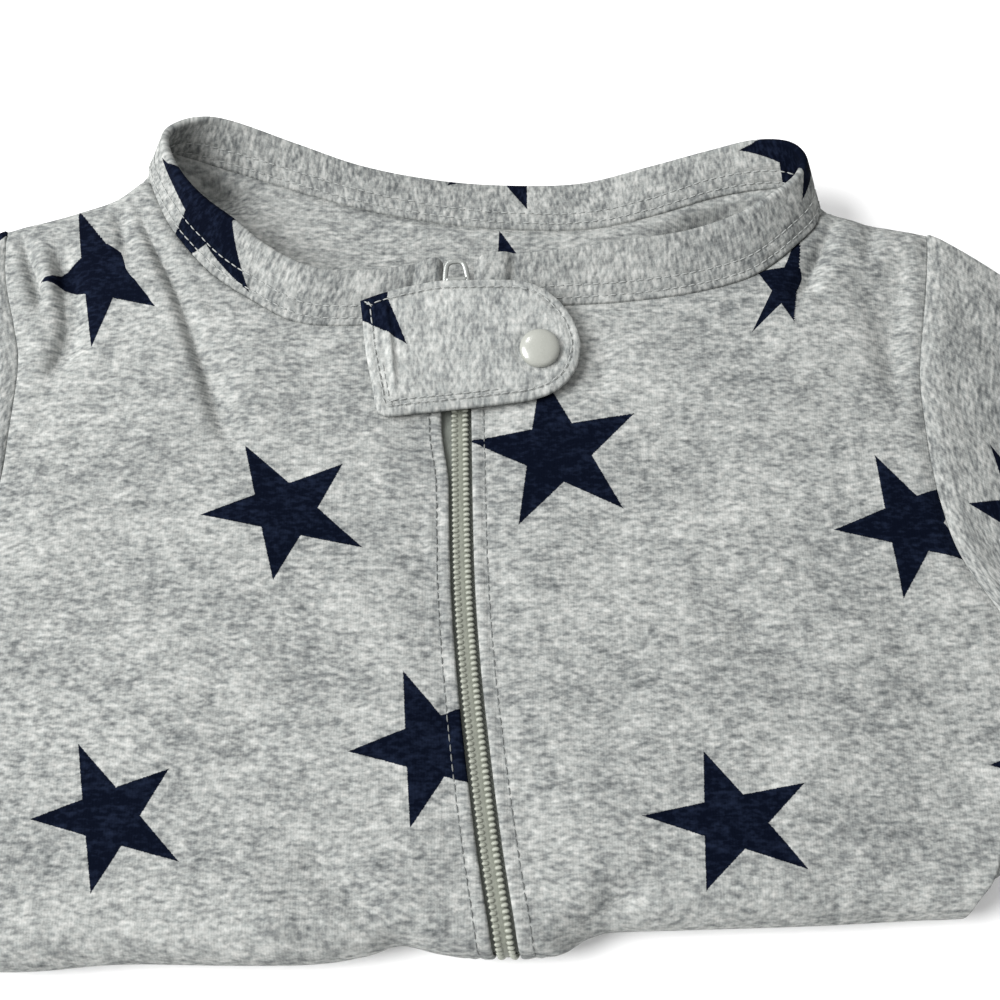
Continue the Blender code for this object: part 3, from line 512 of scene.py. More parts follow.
def buildFront(side):
    flat, share, zipTopRow = frontGrid(side)
    x, along, rise = flat[..., 0], flat[..., 1], flat[..., 2]
    outer, inner, climb, edge = edgeDistance(flat)
    swell = np.sin(math.pi * (1 - (1 - share) ** 0.67))[None, :]
    lift = rise + swell * sum(mound(x, along, *row) for row in frontLook["mounds"])
    rows = np.arange(len(flat))[:, None]
    byZip = rows <= zipTopRow
    byNeck = np.where(byZip, 1e3, inner)
    byZip = np.where(byZip, inner, 1e3)
    if side == "right":
        lift = lift + mound(x, along, *frontLook["limpCorner"])
    lift = lift + sum(ridge(outer, *row) for row in frontLook["sideRidges"])
    lift = lift + ridge(climb, *frontLook["shoulderRidge"]) + ridge(byNeck, *frontLook["neckRidge"])
    lift = lift + sum(ridge(byZip, *row) for row in frontLook["zipRidges"])
    pucker = ridge(byZip, *frontLook["pucker"])
    lift = lift + pucker * np.sin(along * 1.35 + 1.2 * np.sin(along * 0.31))
    calm = smooth(outer, 0, 8) * smooth(inner, 1, 9)
    for crease in frontCreases[side]:
        byTheZip = max(abs(across) for across, _ in crease[0]) < 12
        fade = smooth(inner, 0.5, 3) if byTheZip else calm * 0.85 + 0.15
        lift = lift + creaseLift(x, along, crease) * fade * frontLook["deepen"]
    lift = lift + calm * (0.5 * wander(x, along, 46, 5) + 0.2 * wander(x, along, 19, 9))
    lift = lift + 0.75 * smooth(edge, 1, 16)
    low, soft = -0.3, 0.8   # the deepest creases are drawn back from the layers below
    lift = np.where(lift < low, low - soft * np.tanh((low - lift) / soft), lift)
    grid = lay(x, along, lift)
    uv = np.stack([x, along], axis=-1)
    thing = shell(f"front{side.capitalize()}Cloth", grid, uv, edge, frontStars[side])
    return thing, grid, byZip, zipTopRow


fronts = {}
for side in ("left", "right"):
    fronts[side] = buildFront(side)
    print("front", side, len(fronts[side][0].data.polygons), "faces")


# ---- back
backLook = {
    "across": 24, "along": 6,   # faces for each column and row of the plan
    "hollows": [                # where it sags inside the neck: place, reach each way, height
        ((65, 76), (14, 8), -7.5), ((-66, 87), (10, 8), -6.5), ((0, 70), (60, 5), -0.8),
        ((-1, 57), (13, 7), -5.0),
    ],
}


def buildBack():
    n, m = backLook["across"], backLook["along"]
    lowRows, highRows = 5 * m + 1, 8 * m
    edges = {}
    for side, inset in (("left", 0.6), ("right", -0.6)):
        ys = np.linspace(-84, cloth["underarm"], lowRows)
        tuck = inset * (1 + 4 * smooth(-ys, 70, 84))   # further in where the front is cut away at the fold
        low = np.stack([sideAcross[side](ys) + tuck, ys, sideRise[side](ys)], axis=1)
        edges[side] = np.vstack([low, through(armhole[side], highRows + 1)[1:]])
        edges[side][:, 2] -= cloth["ply"]
    neck = bandSeam("back")
    drop = np.array([0, 0, cloth["ply"]])
    left, right = through(shoulder["left"], n + 1)[:-1] - drop, through(shoulder["right"], n + 1)[:-1] - drop
    top = np.vstack([left, through(neck[1:-1], 15 * n // 4), right[::-1]])
    count = lowRows + highRows
    share = (top[:, 0] - top[0, 0]) / (top[-1, 0] - top[0, 0])
    straight = top[0] + share[:, None] * (top[-1] - top[0])
    grid = []
    for r in range(count):
        a, b = edges["left"][r], edges["right"][r]
        row = a + share[:, None] * (b - a)
        row = row + max(0.0, (r - lowRows + 1) / (count - lowRows)) ** 2 * (top - straight)
        above = min(1.0, r / (lowRows - 1))
        row[:, 1] = row[:, 1] * above + (foldFront(row[:, 0]) + cloth["foldRadius"] + 0.8) * (1 - above)
        grid.append(row)
    grid = np.array(grid)
    flat = grid.copy()
    grid[:, :, 2] += cloth["rollTop"]
    inside = 1 - np.abs(np.linspace(-1, 1, grid.shape[1])) ** 6
    settle = np.linspace(1, 0, count) ** 0.25
    weight = inside[None, :] * settle[:, None]
    grid[:, :, 2] = grid[:, :, 2] * (1 - weight) + cloth["backLevel"] * weight
    x, y = grid[..., 0], grid[..., 1]
    edge = edgeDistance(flat)[3]
    sag = 0.15 * wander(x, y, 30, 3) + sum(mound(x, y, *row) for row in backLook["hollows"])
    grid[:, :, 2] += smooth(edge, 1, 7) * sag
    uv = np.stack([x, y], axis=-1)
    stars = starTable([(12.9, 57.8)], 16) + starTable(starField(-110, 120, -80, 40))
    return shell("backCloth", grid, uv, edge, stars, inside=True)


backCloth = buildBack()
print("back", len(backCloth.data.polygons), "faces")


# ---- sleeves
sleeveLook = {
    "along": 130, "around": 96,
    "clear": -0.2,          # armhole edge to sleeve
    "swing": 56.0,          # distance over which a sleeve comes down to the surface
    "spread": 1.15,         # half the distance between its two layers
    "hem": 17.0,            # turned hem at the cuff
    "seamRidges": [(0, 1.9, -0.5), (4, 3, 0.3)],   # beside the armhole: distance, reach, height
}
sleeveCreases = {   # shares of the way to the cuff and from the upper edge, then heights as above
    "left": [
        ([(0.02, 0.18), (0.07, 0.24), (0.14, 0.28)], -0.8, (0.02, 0.02)),
        ([(0.0, 0.42), (0.08, 0.5), (0.2, 0.52), (0.32, 0.48)], -1.1, (0.05, 0.04)),
        ([(0.02, 0.78), (0.14, 0.7), (0.26, 0.68)], -1.0, (0.04, 0.05)),
        ([(0.3, 0.9), (0.42, 0.7), (0.5, 0.46)], -0.8, (0.05, 0.04)),
        ([(0.5, 0.2), (0.58, 0.36), (0.7, 0.42)], -0.7, (0.05, 0.05)),
        ([(0.62, 0.85), (0.74, 0.72), (0.88, 0.7)], -0.7, (0.05, 0.04)),
    ],
    "right": [
        ([(0.03, 0.12), (0.08, 0.2), (0.16, 0.26)], -0.7, (0.03, 0.02)),
        ([(0.0, 0.5), (0.1, 0.46), (0.24, 0.5), (0.34, 0.56)], -1.0, (0.04, 0.05)),
        ([(0.03, 0.84), (0.14, 0.76), (0.3, 0.78)], -1.0, (0.05, 0.04)),
        ([(0.34, 0.16), (0.44, 0.34), (0.52, 0.56)], -0.8, (0.04, 0.05)),
        ([(0.54, 0.8), (0.66, 0.62), (0.8, 0.56)], -0.7, (0.05, 0.05)),
        ([(0.72, 0.2), (0.82, 0.3), (0.92, 0.3)], -0.6, (0.04, 0.04)),
    ],
}
sleeveStars = {
    "left": [(-128, 68), (-150, 8), (-200, 22), (-228, -44), (-176, -44)],
    "right": [(131.5, -4.0, -40), (160, 50), (190, -4), (240, -30), (176, -50)],
}


def buildSleeve(side):
    half = sleeveLook["around"] // 2 + 1
    swing = np.linspace(0, math.pi, half)
    spread = (1 - np.cos(swing)) / 2
    hole = through(armhole[side][::-1], 300)
    run = np.linspace(0, 1, 300)
    start = np.stack([np.interp(spread, run, hole[:, k]) for k in range(3)], axis=1)
    upper, lower = np.array(cuff[side][0], float), np.array(cuff[side][1], float)
    end = upper + spread[:, None] * (lower - upper)
    heading = end.mean(axis=0) - start[:, :2].mean(axis=0)
    heading /= np.linalg.norm(heading)
    tangent = np.gradient(start[:, :2], axis=0)
    away = np.stack([tangent[:, 1], -tangent[:, 0]], axis=1) / np.linalg.norm(tangent, axis=1, keepdims=True)
    start[:, :2] += away * np.sign(away @ heading)[:, None] * sleeveLook["clear"]
    fullness = np.sin(swing) ** 0.35
    stations = np.concatenate([[0, 0.0008, 0.002, 0.0045], np.linspace(0.009, 0.985, sleeveLook["along"] - 8),
                               [0.991, 0.995, 0.998, 1.0]])
    length = np.linalg.norm(end - start[:, :2], axis=1)
    top, low, uvTop, uvLow, edge = [], [], [], [], []
    across = np.linalg.norm(np.diff(start[:, :2], axis=0), axis=1).sum()
    width = np.array([across, np.linalg.norm(lower - upper)])
    for t in stations:
        place = start[:, :2] * (1 - t) + end * t
        gone = np.linalg.norm(place - start[:, :2], axis=1)
        ease = smooth(gone / sleeveLook["swing"], 0, 1)
        middle = (cloth["rollTop"] + start[:, 2] - cloth["ply"] / 2) * (1 - ease)
        middle = middle + (cloth["under"] + sleeveLook["spread"]) * ease
        open_ = cloth["ply"] / 2 * (1 - ease) + sleeveLook["spread"] * ease
        wide = width[0] * (1 - t) + width[1] * t
        lift = np.zeros(half)
        for crease in sleeveCreases[side]:
            lift = lift + creaseLift(np.full(half, t), spread, crease)
        lift = lift + 0.35 * wander(gone, spread * wide, 38, 12 if side == "left" else 21)
        fromHem = (1 - t) * length
        lift = lift * smooth(gone, 1, 10) * smooth(fromHem, 4, 26)
        lift = lift + sum(ridge(gone, *row) for row in sleeveLook["seamRidges"])
        lift = lift + ridge(fromHem, sleeveLook["hem"], 0.6, -0.3)
        lift = np.maximum(lift, 0.15 - 2 * open_ * fullness + 1.35 * (fullness > 0.5) * 0.5)
        top.append(np.column_stack([place, middle + (open_ + lift) * fullness]))
        low.append(np.column_stack([place, middle - open_ * fullness]))
        u = (spread - 0.5) * wide
        v = -t * length.mean() + 0 * u
        uvTop.append(np.column_stack([u, v]))
        uvLow.append(np.column_stack([wide - u, v]))
        edge.append(np.minimum(gone, fromHem))
    top, low, uvTop, uvLow, edge = (np.array(k) for k in (top, low, uvTop, uvLow, edge))
    ring = lambda a, b: np.concatenate([a, b[:, -2:0:-1]], axis=1)
    grid, uv, edge = ring(top, low), ring(uvTop, uvLow), ring(edge, edge)
    # the print's lean, carried over to the sleeve's own grain
    grain = math.degrees(math.atan2(-heading[1], -heading[0])) - 90
    lean = star["turn"] - grain
    places = []
    for x, y, *more in sleeveStars[side]:
        near = np.argmin(np.hypot(top[..., 0] - x, top[..., 1] - y))
        places.append((*uvTop.reshape(-1, 2)[near], lean + sum(more)))
    # and on the tube's under layer, where they don't run into those
    under = [(p[0] + 105, p[1] - 20) for p in places[:4]]
    clear = lambda q: all(math.hypot(q[0] - p[0], q[1] - p[1]) > star["apart"] for p in places)
    under = [q for q in under if clear(q)]
    stars = starTable(places + under, lean)
    name = f"sleeve{side.capitalize()}Cloth"
    return shell(name, grid, uv, edge, stars, around=True), top


sleeves = {}
for side in ("left", "right"):
    sleeves[side] = buildSleeve(side)
    print("sleeve", side, len(sleeves[side][0].data.polygons), "faces")


# ---- neckband
bandLook = {
    "stations": 460,
    "rows": (2.0, 5.0),      # twin stitch rows above the lower edge
    "half": 0.95,            # half the folded strip's thickness
    "nubs": ((7.6, 0.6), (9.3, 1.15)),   # wrapped ends left and right of the zip: length, fullness
    "swells": ((3.8, 3.6, 0.5), (4.6, 4.2, 0.9)),   # wider there: from the end, reach, how much
    "foldRound": 0.9,        # the top edge's rounding
    "endRound": 2.2,
}
bandStars = [   # across the band, along it, direction of a point in degrees, size, breadth, slant
    (12.5, 67.0, -118.6, 23.3, 0.85, -0.16), (4.0, 184.0, 16.5, 18.5), (15.5, 259.5, -95.0, 14.5),
]


def bandFrame(stations):
    rows = through(band, stations)
    seam, top = rows[:, :3], rows[:, 3:]
    ahead = np.gradient((seam + top) / 2, axis=0)
    along = np.concatenate([[0], np.cumsum(np.linalg.norm(np.diff((seam + top) / 2, axis=0), axis=1))])
    up = top - seam
    width = np.linalg.norm(up, axis=1)
    up = up / width[:, None]
    out = np.cross(ahead, up)
    out = out / np.linalg.norm(out, axis=1, keepdims=True)
    if out[0] @ np.array([0, -1, 1.0]) < 0:
        out = -out
    return seam, up, out, width, along


def bandHalf(w, width, s, total):
    # half thickness across the strip: thin at the raw edge, dimpled at the stitches, full at the fold
    half = bandLook["half"] * (0.98 + 0.1 * smooth(w, 5, 9))
    for row in bandLook["rows"]:
        half = half + ridge(w, row, 0.5, -0.2)
    belly = np.sqrt(np.clip(1 - ((w - width * 0.55) / (width * 0.6)) ** 2, 0, 1))
    for gone, (nub, puff) in zip((s, total - s), bandLook["nubs"]):
        half = half + puff * belly * smooth(nub - gone, 0, 2.5) + ridge(gone, nub, 0.6, -0.62)
    return half


def bandWave(w, along):
    # the strip between its stitch rows wavers a little, but not near its ends
    fromEnd = np.minimum(along, along[-1] - along)
    wave = 0.16 * np.sin(along * 0.55 + 1.7 * np.sin(along * 0.11)) * smooth(fromEnd, 4, 20)
    return wave[:, None] * ridge(w, 3.5, 2.6, 1)


def buildBand():
    seam, up, out, width, along = bandFrame(bandLook["stations"])
    total = along[-1]
    fromEnd = np.minimum(along, total - along)
    short = 1 - np.clip(fromEnd / bandLook["endRound"], 0, 1)
    taper = np.sqrt(np.clip(1 - short ** 2, 0.03, 1))
    (near, reach, more), (nearRight, reachRight, moreRight) = bandLook["swells"]
    swell = moreRight * np.exp(-(((total - along - nearRight) / reachRight) ** 4))
    width = width + swell + more * np.exp(-(((along - near) / reach) ** 4)) - 1.6 * short ** 2
    # closer together at the raw edge and the stitch rows
    face = np.array([0.0, 0.25, 0.6, 1.1, 1.5, 1.8, 2.0, 2.2, 2.5, 3.0, 3.6, 4.2, 4.6, 4.85, 5.05,
                     5.3, 5.7, 6.4, 7.3])
    share = np.linspace(0, 1, 9)[1:]
    turn = np.linspace(0, math.pi, 9)[1:-1]
    edge, roundTop, roundCloth, raw = bandLook["foldRound"], 0.95, 1.45, 0.6
    grid, uv = [], []
    for k in range(len(seam)):
        straight = width[k] - edge
        w = np.concatenate([face, face[-1] + share * (straight - face[-1])])
        half = bandHalf(w, width[k], along[k], total) * taper[k]
        half = half * np.where(w < raw, np.sqrt(np.clip(1 - (1 - w / raw) ** 2, 0.05, 1)), 1)
        ripple = bandWave(w, along)[k]
        outer = seam[k] + up[k] * w[:, None] + out[k] * (half + ripple)[:, None]
        inner = seam[k] + up[k] * w[:, None] - out[k] * (half - ripple)[:, None]
        cap = seam[k] + up[k] * (straight + roundTop * np.sin(turn))[:, None]
        cap = cap + out[k] * (np.cos(turn) * half[-1])[:, None]
        grid.append(np.vstack([outer, cap, inner[::-1]]))
        fold = straight + roundCloth * turn / math.pi
        across = np.concatenate([w, fold, 2 * straight + roundCloth - w[::-1]])
        uv.append(np.column_stack([across, np.full(len(across), along[k])]))
    points, every = closedTube(np.array(grid))
    flat = np.vstack([np.concatenate(uv), uv[0].mean(axis=0), uv[-1].mean(axis=0)])
    return toMesh("neckbandCloth", points, every, flat, starCorners(flat, every, bandStars))


neckbandCloth = buildBand()
print("neckband", len(neckbandCloth.data.polygons), "faces")


# ---- chin tab
tabLook = {
    "height": 18.75, "slope": 0.125,   # middle of the tab at the snap, and its rise towards the neck
    "half": 0.95,                      # half its thickness, and the rounding of its edge
    "stitchIn": 2.2, "secondStitch": 3.4,
    "seamLine": [                      # ridge and groove of the turned edge beside its sewn end
        ([(-19.6, 51), (-18.8, 44), (-17.6, 36), (-16.4, 24)], 0.8, (0.7, 0.7)),
        ([(-18.4, 51), (-17.6, 44), (-16.4, 36), (-15.2, 24)], -0.3, (0.8, 0.8)),
    ],
    "capSeat": 4.3,                    # the snap's cap presses the cloth down within this
}
tabOutline = [
    (-25.3, 49.3), (-24.6, 44), (-23.6, 36), (-21.6, 26), (-20.6, 21.6), (-18.2, 20.1), (-12, 20.7),
    (-6, 21.3), (2, 22.2), (9, 23.1), (15, 24), (19.7, 25.6), (23.4, 28.2), (25.8, 31.8), (26.9, 36),
    (26.7, 40.2), (25, 44.8), (22, 49), (18.2, 52.2), (13.4, 54), (8, 54.4), (0, 54.3), (-6.3, 54.1),
    (-14, 52.6), (-20.5, 50.8),
]
tabStars = [(-25.4, 51.4, -50.0, 18.5, 1.0, 0.0, 72.0, 8.0)]


def tabLine(inset, count=220):
    # the tab's outline, or a line inside it
    loop = np.array(tabOutline + tabOutline[:1], float)
    line = through(loop, count + 1)[:-1]
    ahead = np.roll(line, -1, axis=0) - np.roll(line, 1, axis=0)
    inward = np.stack([-ahead[:, 1], ahead[:, 0]], axis=1) / np.linalg.norm(ahead, axis=1, keepdims=True)
    return line + inward * inset


def tabHeight(x, y):
    return tabLook["height"] + tabLook["slope"] * (y - capPlace[1]) + ridge(x, -26, 4.0, -0.7)


def buildTab():
    rim = tabLine(0)
    middle = np.array([1.0, 37.5])
    depth = np.concatenate([[0, 0.006, 0.014, 0.026, 0.042], np.linspace(0.06, 0.97, 46)])
    grid = rim[None] + depth[:, None, None] * (middle - rim)[None]
    x, y = grid[..., 0], grid[..., 1]
    away = nearLine(x, y, np.vstack([rim, rim[:1]]))[0]
    half = tabLook["half"] * np.sqrt(np.clip(1 - (1 - np.clip(away / tabLook["half"], 0, 1)) ** 2, 0.01, 1))
    puff = ridge(away, 1.1, 0.7, 0.16) + ridge(away, tabLook["stitchIn"], 0.42, -0.34)
    puff = puff + 0.2 * smooth(away, 2.6, 6) + 0.16 * wander(x, y, 15, 4) * smooth(away, 2, 5)
    lower = smooth(24 - y + 0.07 * (x + 18), -4, 0)   # the second stitch row is along the lower edge only
    puff = puff + ridge(away, tabLook["secondStitch"], 0.35, -0.25) * lower
    for crease in tabLook["seamLine"]:
        puff = puff + creaseLift(x, y, crease)
    fromCap = np.hypot(x - capPlace[0], y - capPlace[1])
    seat = tabLook["capSeat"]
    puff = puff + ridge(fromCap, 4.9, 1.3, -0.45) * (fromCap > seat) - 0.4 * (fromCap <= seat)
    z = tabHeight(x, y)
    droop, clear = ridge(away, 0, 1.6, -0.5), np.clip(away / 0.9, 0, 1)
    top = np.stack([x, y, z + half + (puff + droop) * clear], axis=-1)
    low = np.stack([x, y, z - half + droop * clear], axis=-1)
    rows, columns = x.shape
    count = rows * columns
    points = np.vstack([top.reshape(-1, 3), low.reshape(-1, 3), top[-1].mean(axis=0), low[-1].mean(axis=0)])
    quads = gridQuads(rows, columns, around=True)
    k = np.arange(columns)
    n = (k + 1) % columns
    side = np.stack([k, k + count, n + count, n], axis=1)
    inner = (rows - 1) * columns
    even = k[::2]
    heart = np.stack([inner + even, inner + (even + 1) % columns, inner + (even + 2) % columns,
                      np.full(len(even), 2 * count)], axis=1)
    heartLow = heart[:, ::-1] + count
    heartLow = np.where(heartLow >= 3 * count, 2 * count + 1, heartLow)
    every = outward(points, np.vstack([quads, quads[:, ::-1] + count, side, heart, heartLow]))
    grain = points[:, 1::-1]   # the tab's grain is turned from the body's
    return toMesh("chinTabCloth", points, every, grain, starCorners(points[:, :2], every, tabStars))


chinTabCloth = buildTab()
print("chin tab", len(chinTabCloth.data.polygons), "faces")


# ---- hidden lower body, legs and feet: four layers that show at the edges
stack = {
    "corner": 16.0,         # round corners towards the neck
    "tuck": (7.0, 12.0),    # how far its corners at the fold draw in, across and along
    "reach": 3.7,           # how far it fills the fold's round inside
    "groove": 1.3,          # between two layers
    "layers": [             # bottom, top, half width, end towards the neck
        (0.0, 2.7, 104.5, 60.0), (2.7, 5.0, 107.0, 64.0), (5.0, 7.2, 105.0, 62.0), (7.2, 9.5, 108.0, 65.5),
    ],
}


def buildStack():
    corner, middle = stack["corner"], cloth["rollTop"] - cloth["foldRadius"]
    curve = np.linspace(0, math.pi / 2, 9)[1:]
    inX, inY = stack["tuck"]

    def ring(z, wide, north, lowest, wave):
        near = np.linspace(inX - wide, wide - inX, 130)
        if lowest:
            south = np.full(len(near), cloth["hiddenStrip"] + 0.7)
        else:
            lift = min(abs(z - middle), stack["reach"])
            fill = math.sqrt(max(0.01, stack["reach"] ** 2 - lift**2))
            south = foldFront(near) + cloth["foldRadius"] - fill

        def flank(sign, start, phase, length):   # up one side and round its corner
            ys = np.linspace(start + inY, north - corner, 50)
            turn = np.linspace(0, math.pi, 50)[::sign]
            bend = np.sin((ys + wave * phase) / length) * 0.5 * np.sin(turn)
            in_, back_ = corner * (1 - np.cos(curve)), corner * (1 - np.sin(curve))
            side = [np.column_stack([wide + bend, ys]), np.column_stack([wide - in_, north - back_])]
            return np.vstack(side)[::sign] * (sign, 1)

        xs = np.linspace(wide - corner, corner - wide, 90)[1:-1]
        ripple = 0.6 * np.sin(xs / 17 + wave) * np.sin(np.linspace(0, math.pi, 88))
        flat = np.vstack([np.column_stack([near, south]), flank(1, south[-1], 9, 13),
                          np.column_stack([xs, north + ripple]), flank(-1, south[0], 7, 11)])
        return np.column_stack([flat, np.full(len(flat), z)])

    rings = []
    turn = np.linspace(-1, 1, 9)
    for wave, (low, high, wide, north) in enumerate(stack["layers"]):
        for t in turn:
            inset = stack["groove"] * (1 - math.sqrt(max(0.0, 1 - t * t)))
            z = (low + high) / 2 + t * (high - low) / 2
            if wave and t == -1:
                z += 0.12
            rings.append(ring(z, wide - inset, north - inset, wave == 0, wave))
    grid = np.array(rings)
    inward = np.linspace(1, 0.02, 34)[1:]
    heart = np.array([0, -5.0])
    low, high = grid[0], grid[-1]
    first = [np.column_stack([heart + (low[:, :2] - heart) * s, low[:, 2]]) for s in inward][::-1]
    last = [np.column_stack([heart + (high[:, :2] - heart) * s, high[:, 2]]) for s in inward]
    points, every = closedTube(np.array(first + list(grid) + last))
    flat = np.column_stack([points[:, 0], points[:, 1] + points[:, 2]])
    stars = starTable(starField(-100, 104, -58, 66))
    return toMesh("foldedLegsCloth", points, every, flat, starCorners(flat, every, stars))


foldedLegsCloth = buildStack()
print("folded lower body", len(foldedLegsCloth.data.polygons), "faces")


# ---- zip: tapes, core, teeth
zipLook = {
    "tapeHalf": 6.2, "tapeWall": 0.6, "tapeDrop": 0.75,
    "pitch": 1.25,             # one tooth to the next
    "top": 45.3,               # where the closed teeth end, under the tab
    "tapeTop": 58,
    "tuck": 2.5,               # how far it runs on past the hidden strip
    "core": (1.75, -0.7, 0.02, 0.25),   # half width, underside, face, crown
}


def zipPath(offset, height, low, high, step=0.6):
    # points that follow the zip round the fold, and the way up at each
    along = np.arange(low, high, step)
    middle, rise = zipAcross(along), zipRise(along)
    base = lay(middle + offset, along, rise)
    over = lay(middle + offset + 1, along, rise) - base
    ahead = lay(middle + offset, along + 0.5, rise) - base
    up = np.cross(over, ahead)
    up /= np.linalg.norm(up, axis=1, keepdims=True)
    return base + up * height, up


zipStart = 2 * (foldFront(12.0) + cloth["foldRadius"]) - math.pi * cloth["foldRadius"]
zipStart += zipLook["tuck"] - cloth["hiddenStrip"]


def buildStrip(name, low, high, under, over, top, crown=0.0):
    # a strip along the zip between two sideways offsets, its face crowned
    sides = np.linspace(low, high, 9)
    shares = (sides - low) / (high - low)
    rings = []
    for x, share in zip(sides, shares):
        rings.append(zipPath(x, over + crown * math.sin(math.pi * share), zipStart, top, 1.0)[0])
    for x in sides[::-1]:
        rings.append(zipPath(x, under, zipStart, top, 1.0)[0])
    grid = np.array(rings).transpose(1, 0, 2)
    rows, columns = grid.shape[:2]
    quads = gridQuads(rows, columns, around=True)
    caps = []
    for base, flip in ((0, False), ((rows - 1) * columns, True)):
        for k in range(8):
            quad = [base + k, base + k + 1, base + columns - 2 - k, base + columns - 1 - k]
            caps.append(quad[::-1] if flip else quad)
    points = grid.reshape(-1, 3)
    every = outward(points, np.vstack([quads, np.array(caps)[:, ::-1]]))
    offsets = np.concatenate([sides, sides[::-1]])
    uv = np.column_stack([np.tile(offsets, rows), np.repeat(np.arange(rows) * 1.0, columns)])
    return toMesh(name, points, every, uv)


face, underside = -zipLook["tapeDrop"], -zipLook["tapeDrop"] - zipLook["tapeWall"]
tapes = {}
for side, low, high in (("left", -zipLook["tapeHalf"], -0.1), ("right", 0.1, zipLook["tapeHalf"])):
    tapes[side] = buildStrip(f"zipTape{side.capitalize()}", low, high, underside, face, zipLook["tapeTop"])
coreHalf, coreUnder, coreFace, coreCrown = zipLook["core"]
zipCore = buildStrip("zipCore", -coreHalf, coreHalf, coreUnder, coreFace, zipLook["top"], coreCrown)


def pathObject(name, runs):
    # edges that a run of repeated shapes follows; each point knows its way up
    points, edges, ups = [], [], []
    for line, up in runs:
        start = len(points)
        points += ((np.asarray(line) + shift) * mm).tolist()
        ups += np.broadcast_to(up, np.shape(line)).tolist()
        edges += [(start + k, start + k + 1) for k in range(len(line) - 1)]
    mesh = bpy.data.meshes.new(name)
    mesh.from_pydata(points, edges, [])
    layer = mesh.attributes.new("up", "FLOAT_VECTOR", "POINT")
    layer.data.foreach_set("vector", np.array(ups, np.float32).ravel())
    return toScene(name, mesh)


def shapeObject(name, rings):
    # a closed shape from rings of points, its ends drawn together
    grid = np.array(rings, float)
    rows, columns = grid.shape[:2]
    points = np.vstack([grid.reshape(-1, 3), grid[0].mean(axis=0), grid[-1].mean(axis=0)])
    quads = [tuple(q) for q in gridQuads(rows, columns, around=True)]
    for k in range(columns):
        n = (k + 1) % columns
        quads.append((rows * columns, n, k))
        quads.append((rows * columns + 1, (rows - 1) * columns + k, (rows - 1) * columns + n))
    mesh = bpy.data.meshes.new(name)
    mesh.from_pydata((points * mm).tolist(), [], quads)
    mesh.shade_smooth()
    return toScene(name, mesh)


class Tap:  # a socket that sums can be done on
    def __init__(self, tree, socket=None):
        self.tree, self.socket = tree, socket

    def node(self, kind, settings=None, inputs=None, output=0):
        # settings first, then a value or a link for each socket
        made = self.tree.nodes.new(kind)
        for key, value in (settings or {}).items():
            if key == "stops":
                for element in list(made.color_ramp.elements)[1:]:
                    made.color_ramp.elements.remove(element)
                made.color_ramp.elements[0].position = value[0][0]
                made.color_ramp.elements[0].color = value[0][1]
                for place, colour in value[1:]:
                    made.color_ramp.elements.new(place).color = colour
            else:
                setattr(made, key, value)
        for key, value in (inputs or {}).items():
            if isinstance(value, Tap):
                self.tree.links.new(value.socket, made.inputs[key])
            else:
                made.inputs[key].default_value = value
        return Tap(self.tree, made.outputs[output] if made.outputs else None)

    def other(self, output):   # another output of the same node
        return Tap(self.tree, self.socket.node.outputs[output])

    def sum(self, operation, first, second=0.0, third=0.0):
        return self.node("ShaderNodeMath", {"operation": operation}, {0: first, 1: second, 2: third})

    def __add__(self, other): return self.sum("ADD", self, other)
    def __radd__(self, other): return self.sum("ADD", other, self)
    def __sub__(self, other): return self.sum("SUBTRACT", self, other)
    def __rsub__(self, other): return self.sum("SUBTRACT", other, self)
    def __mul__(self, other): return self.sum("MULTIPLY", self, other)
    def __rmul__(self, other): return self.sum("MULTIPLY", other, self)


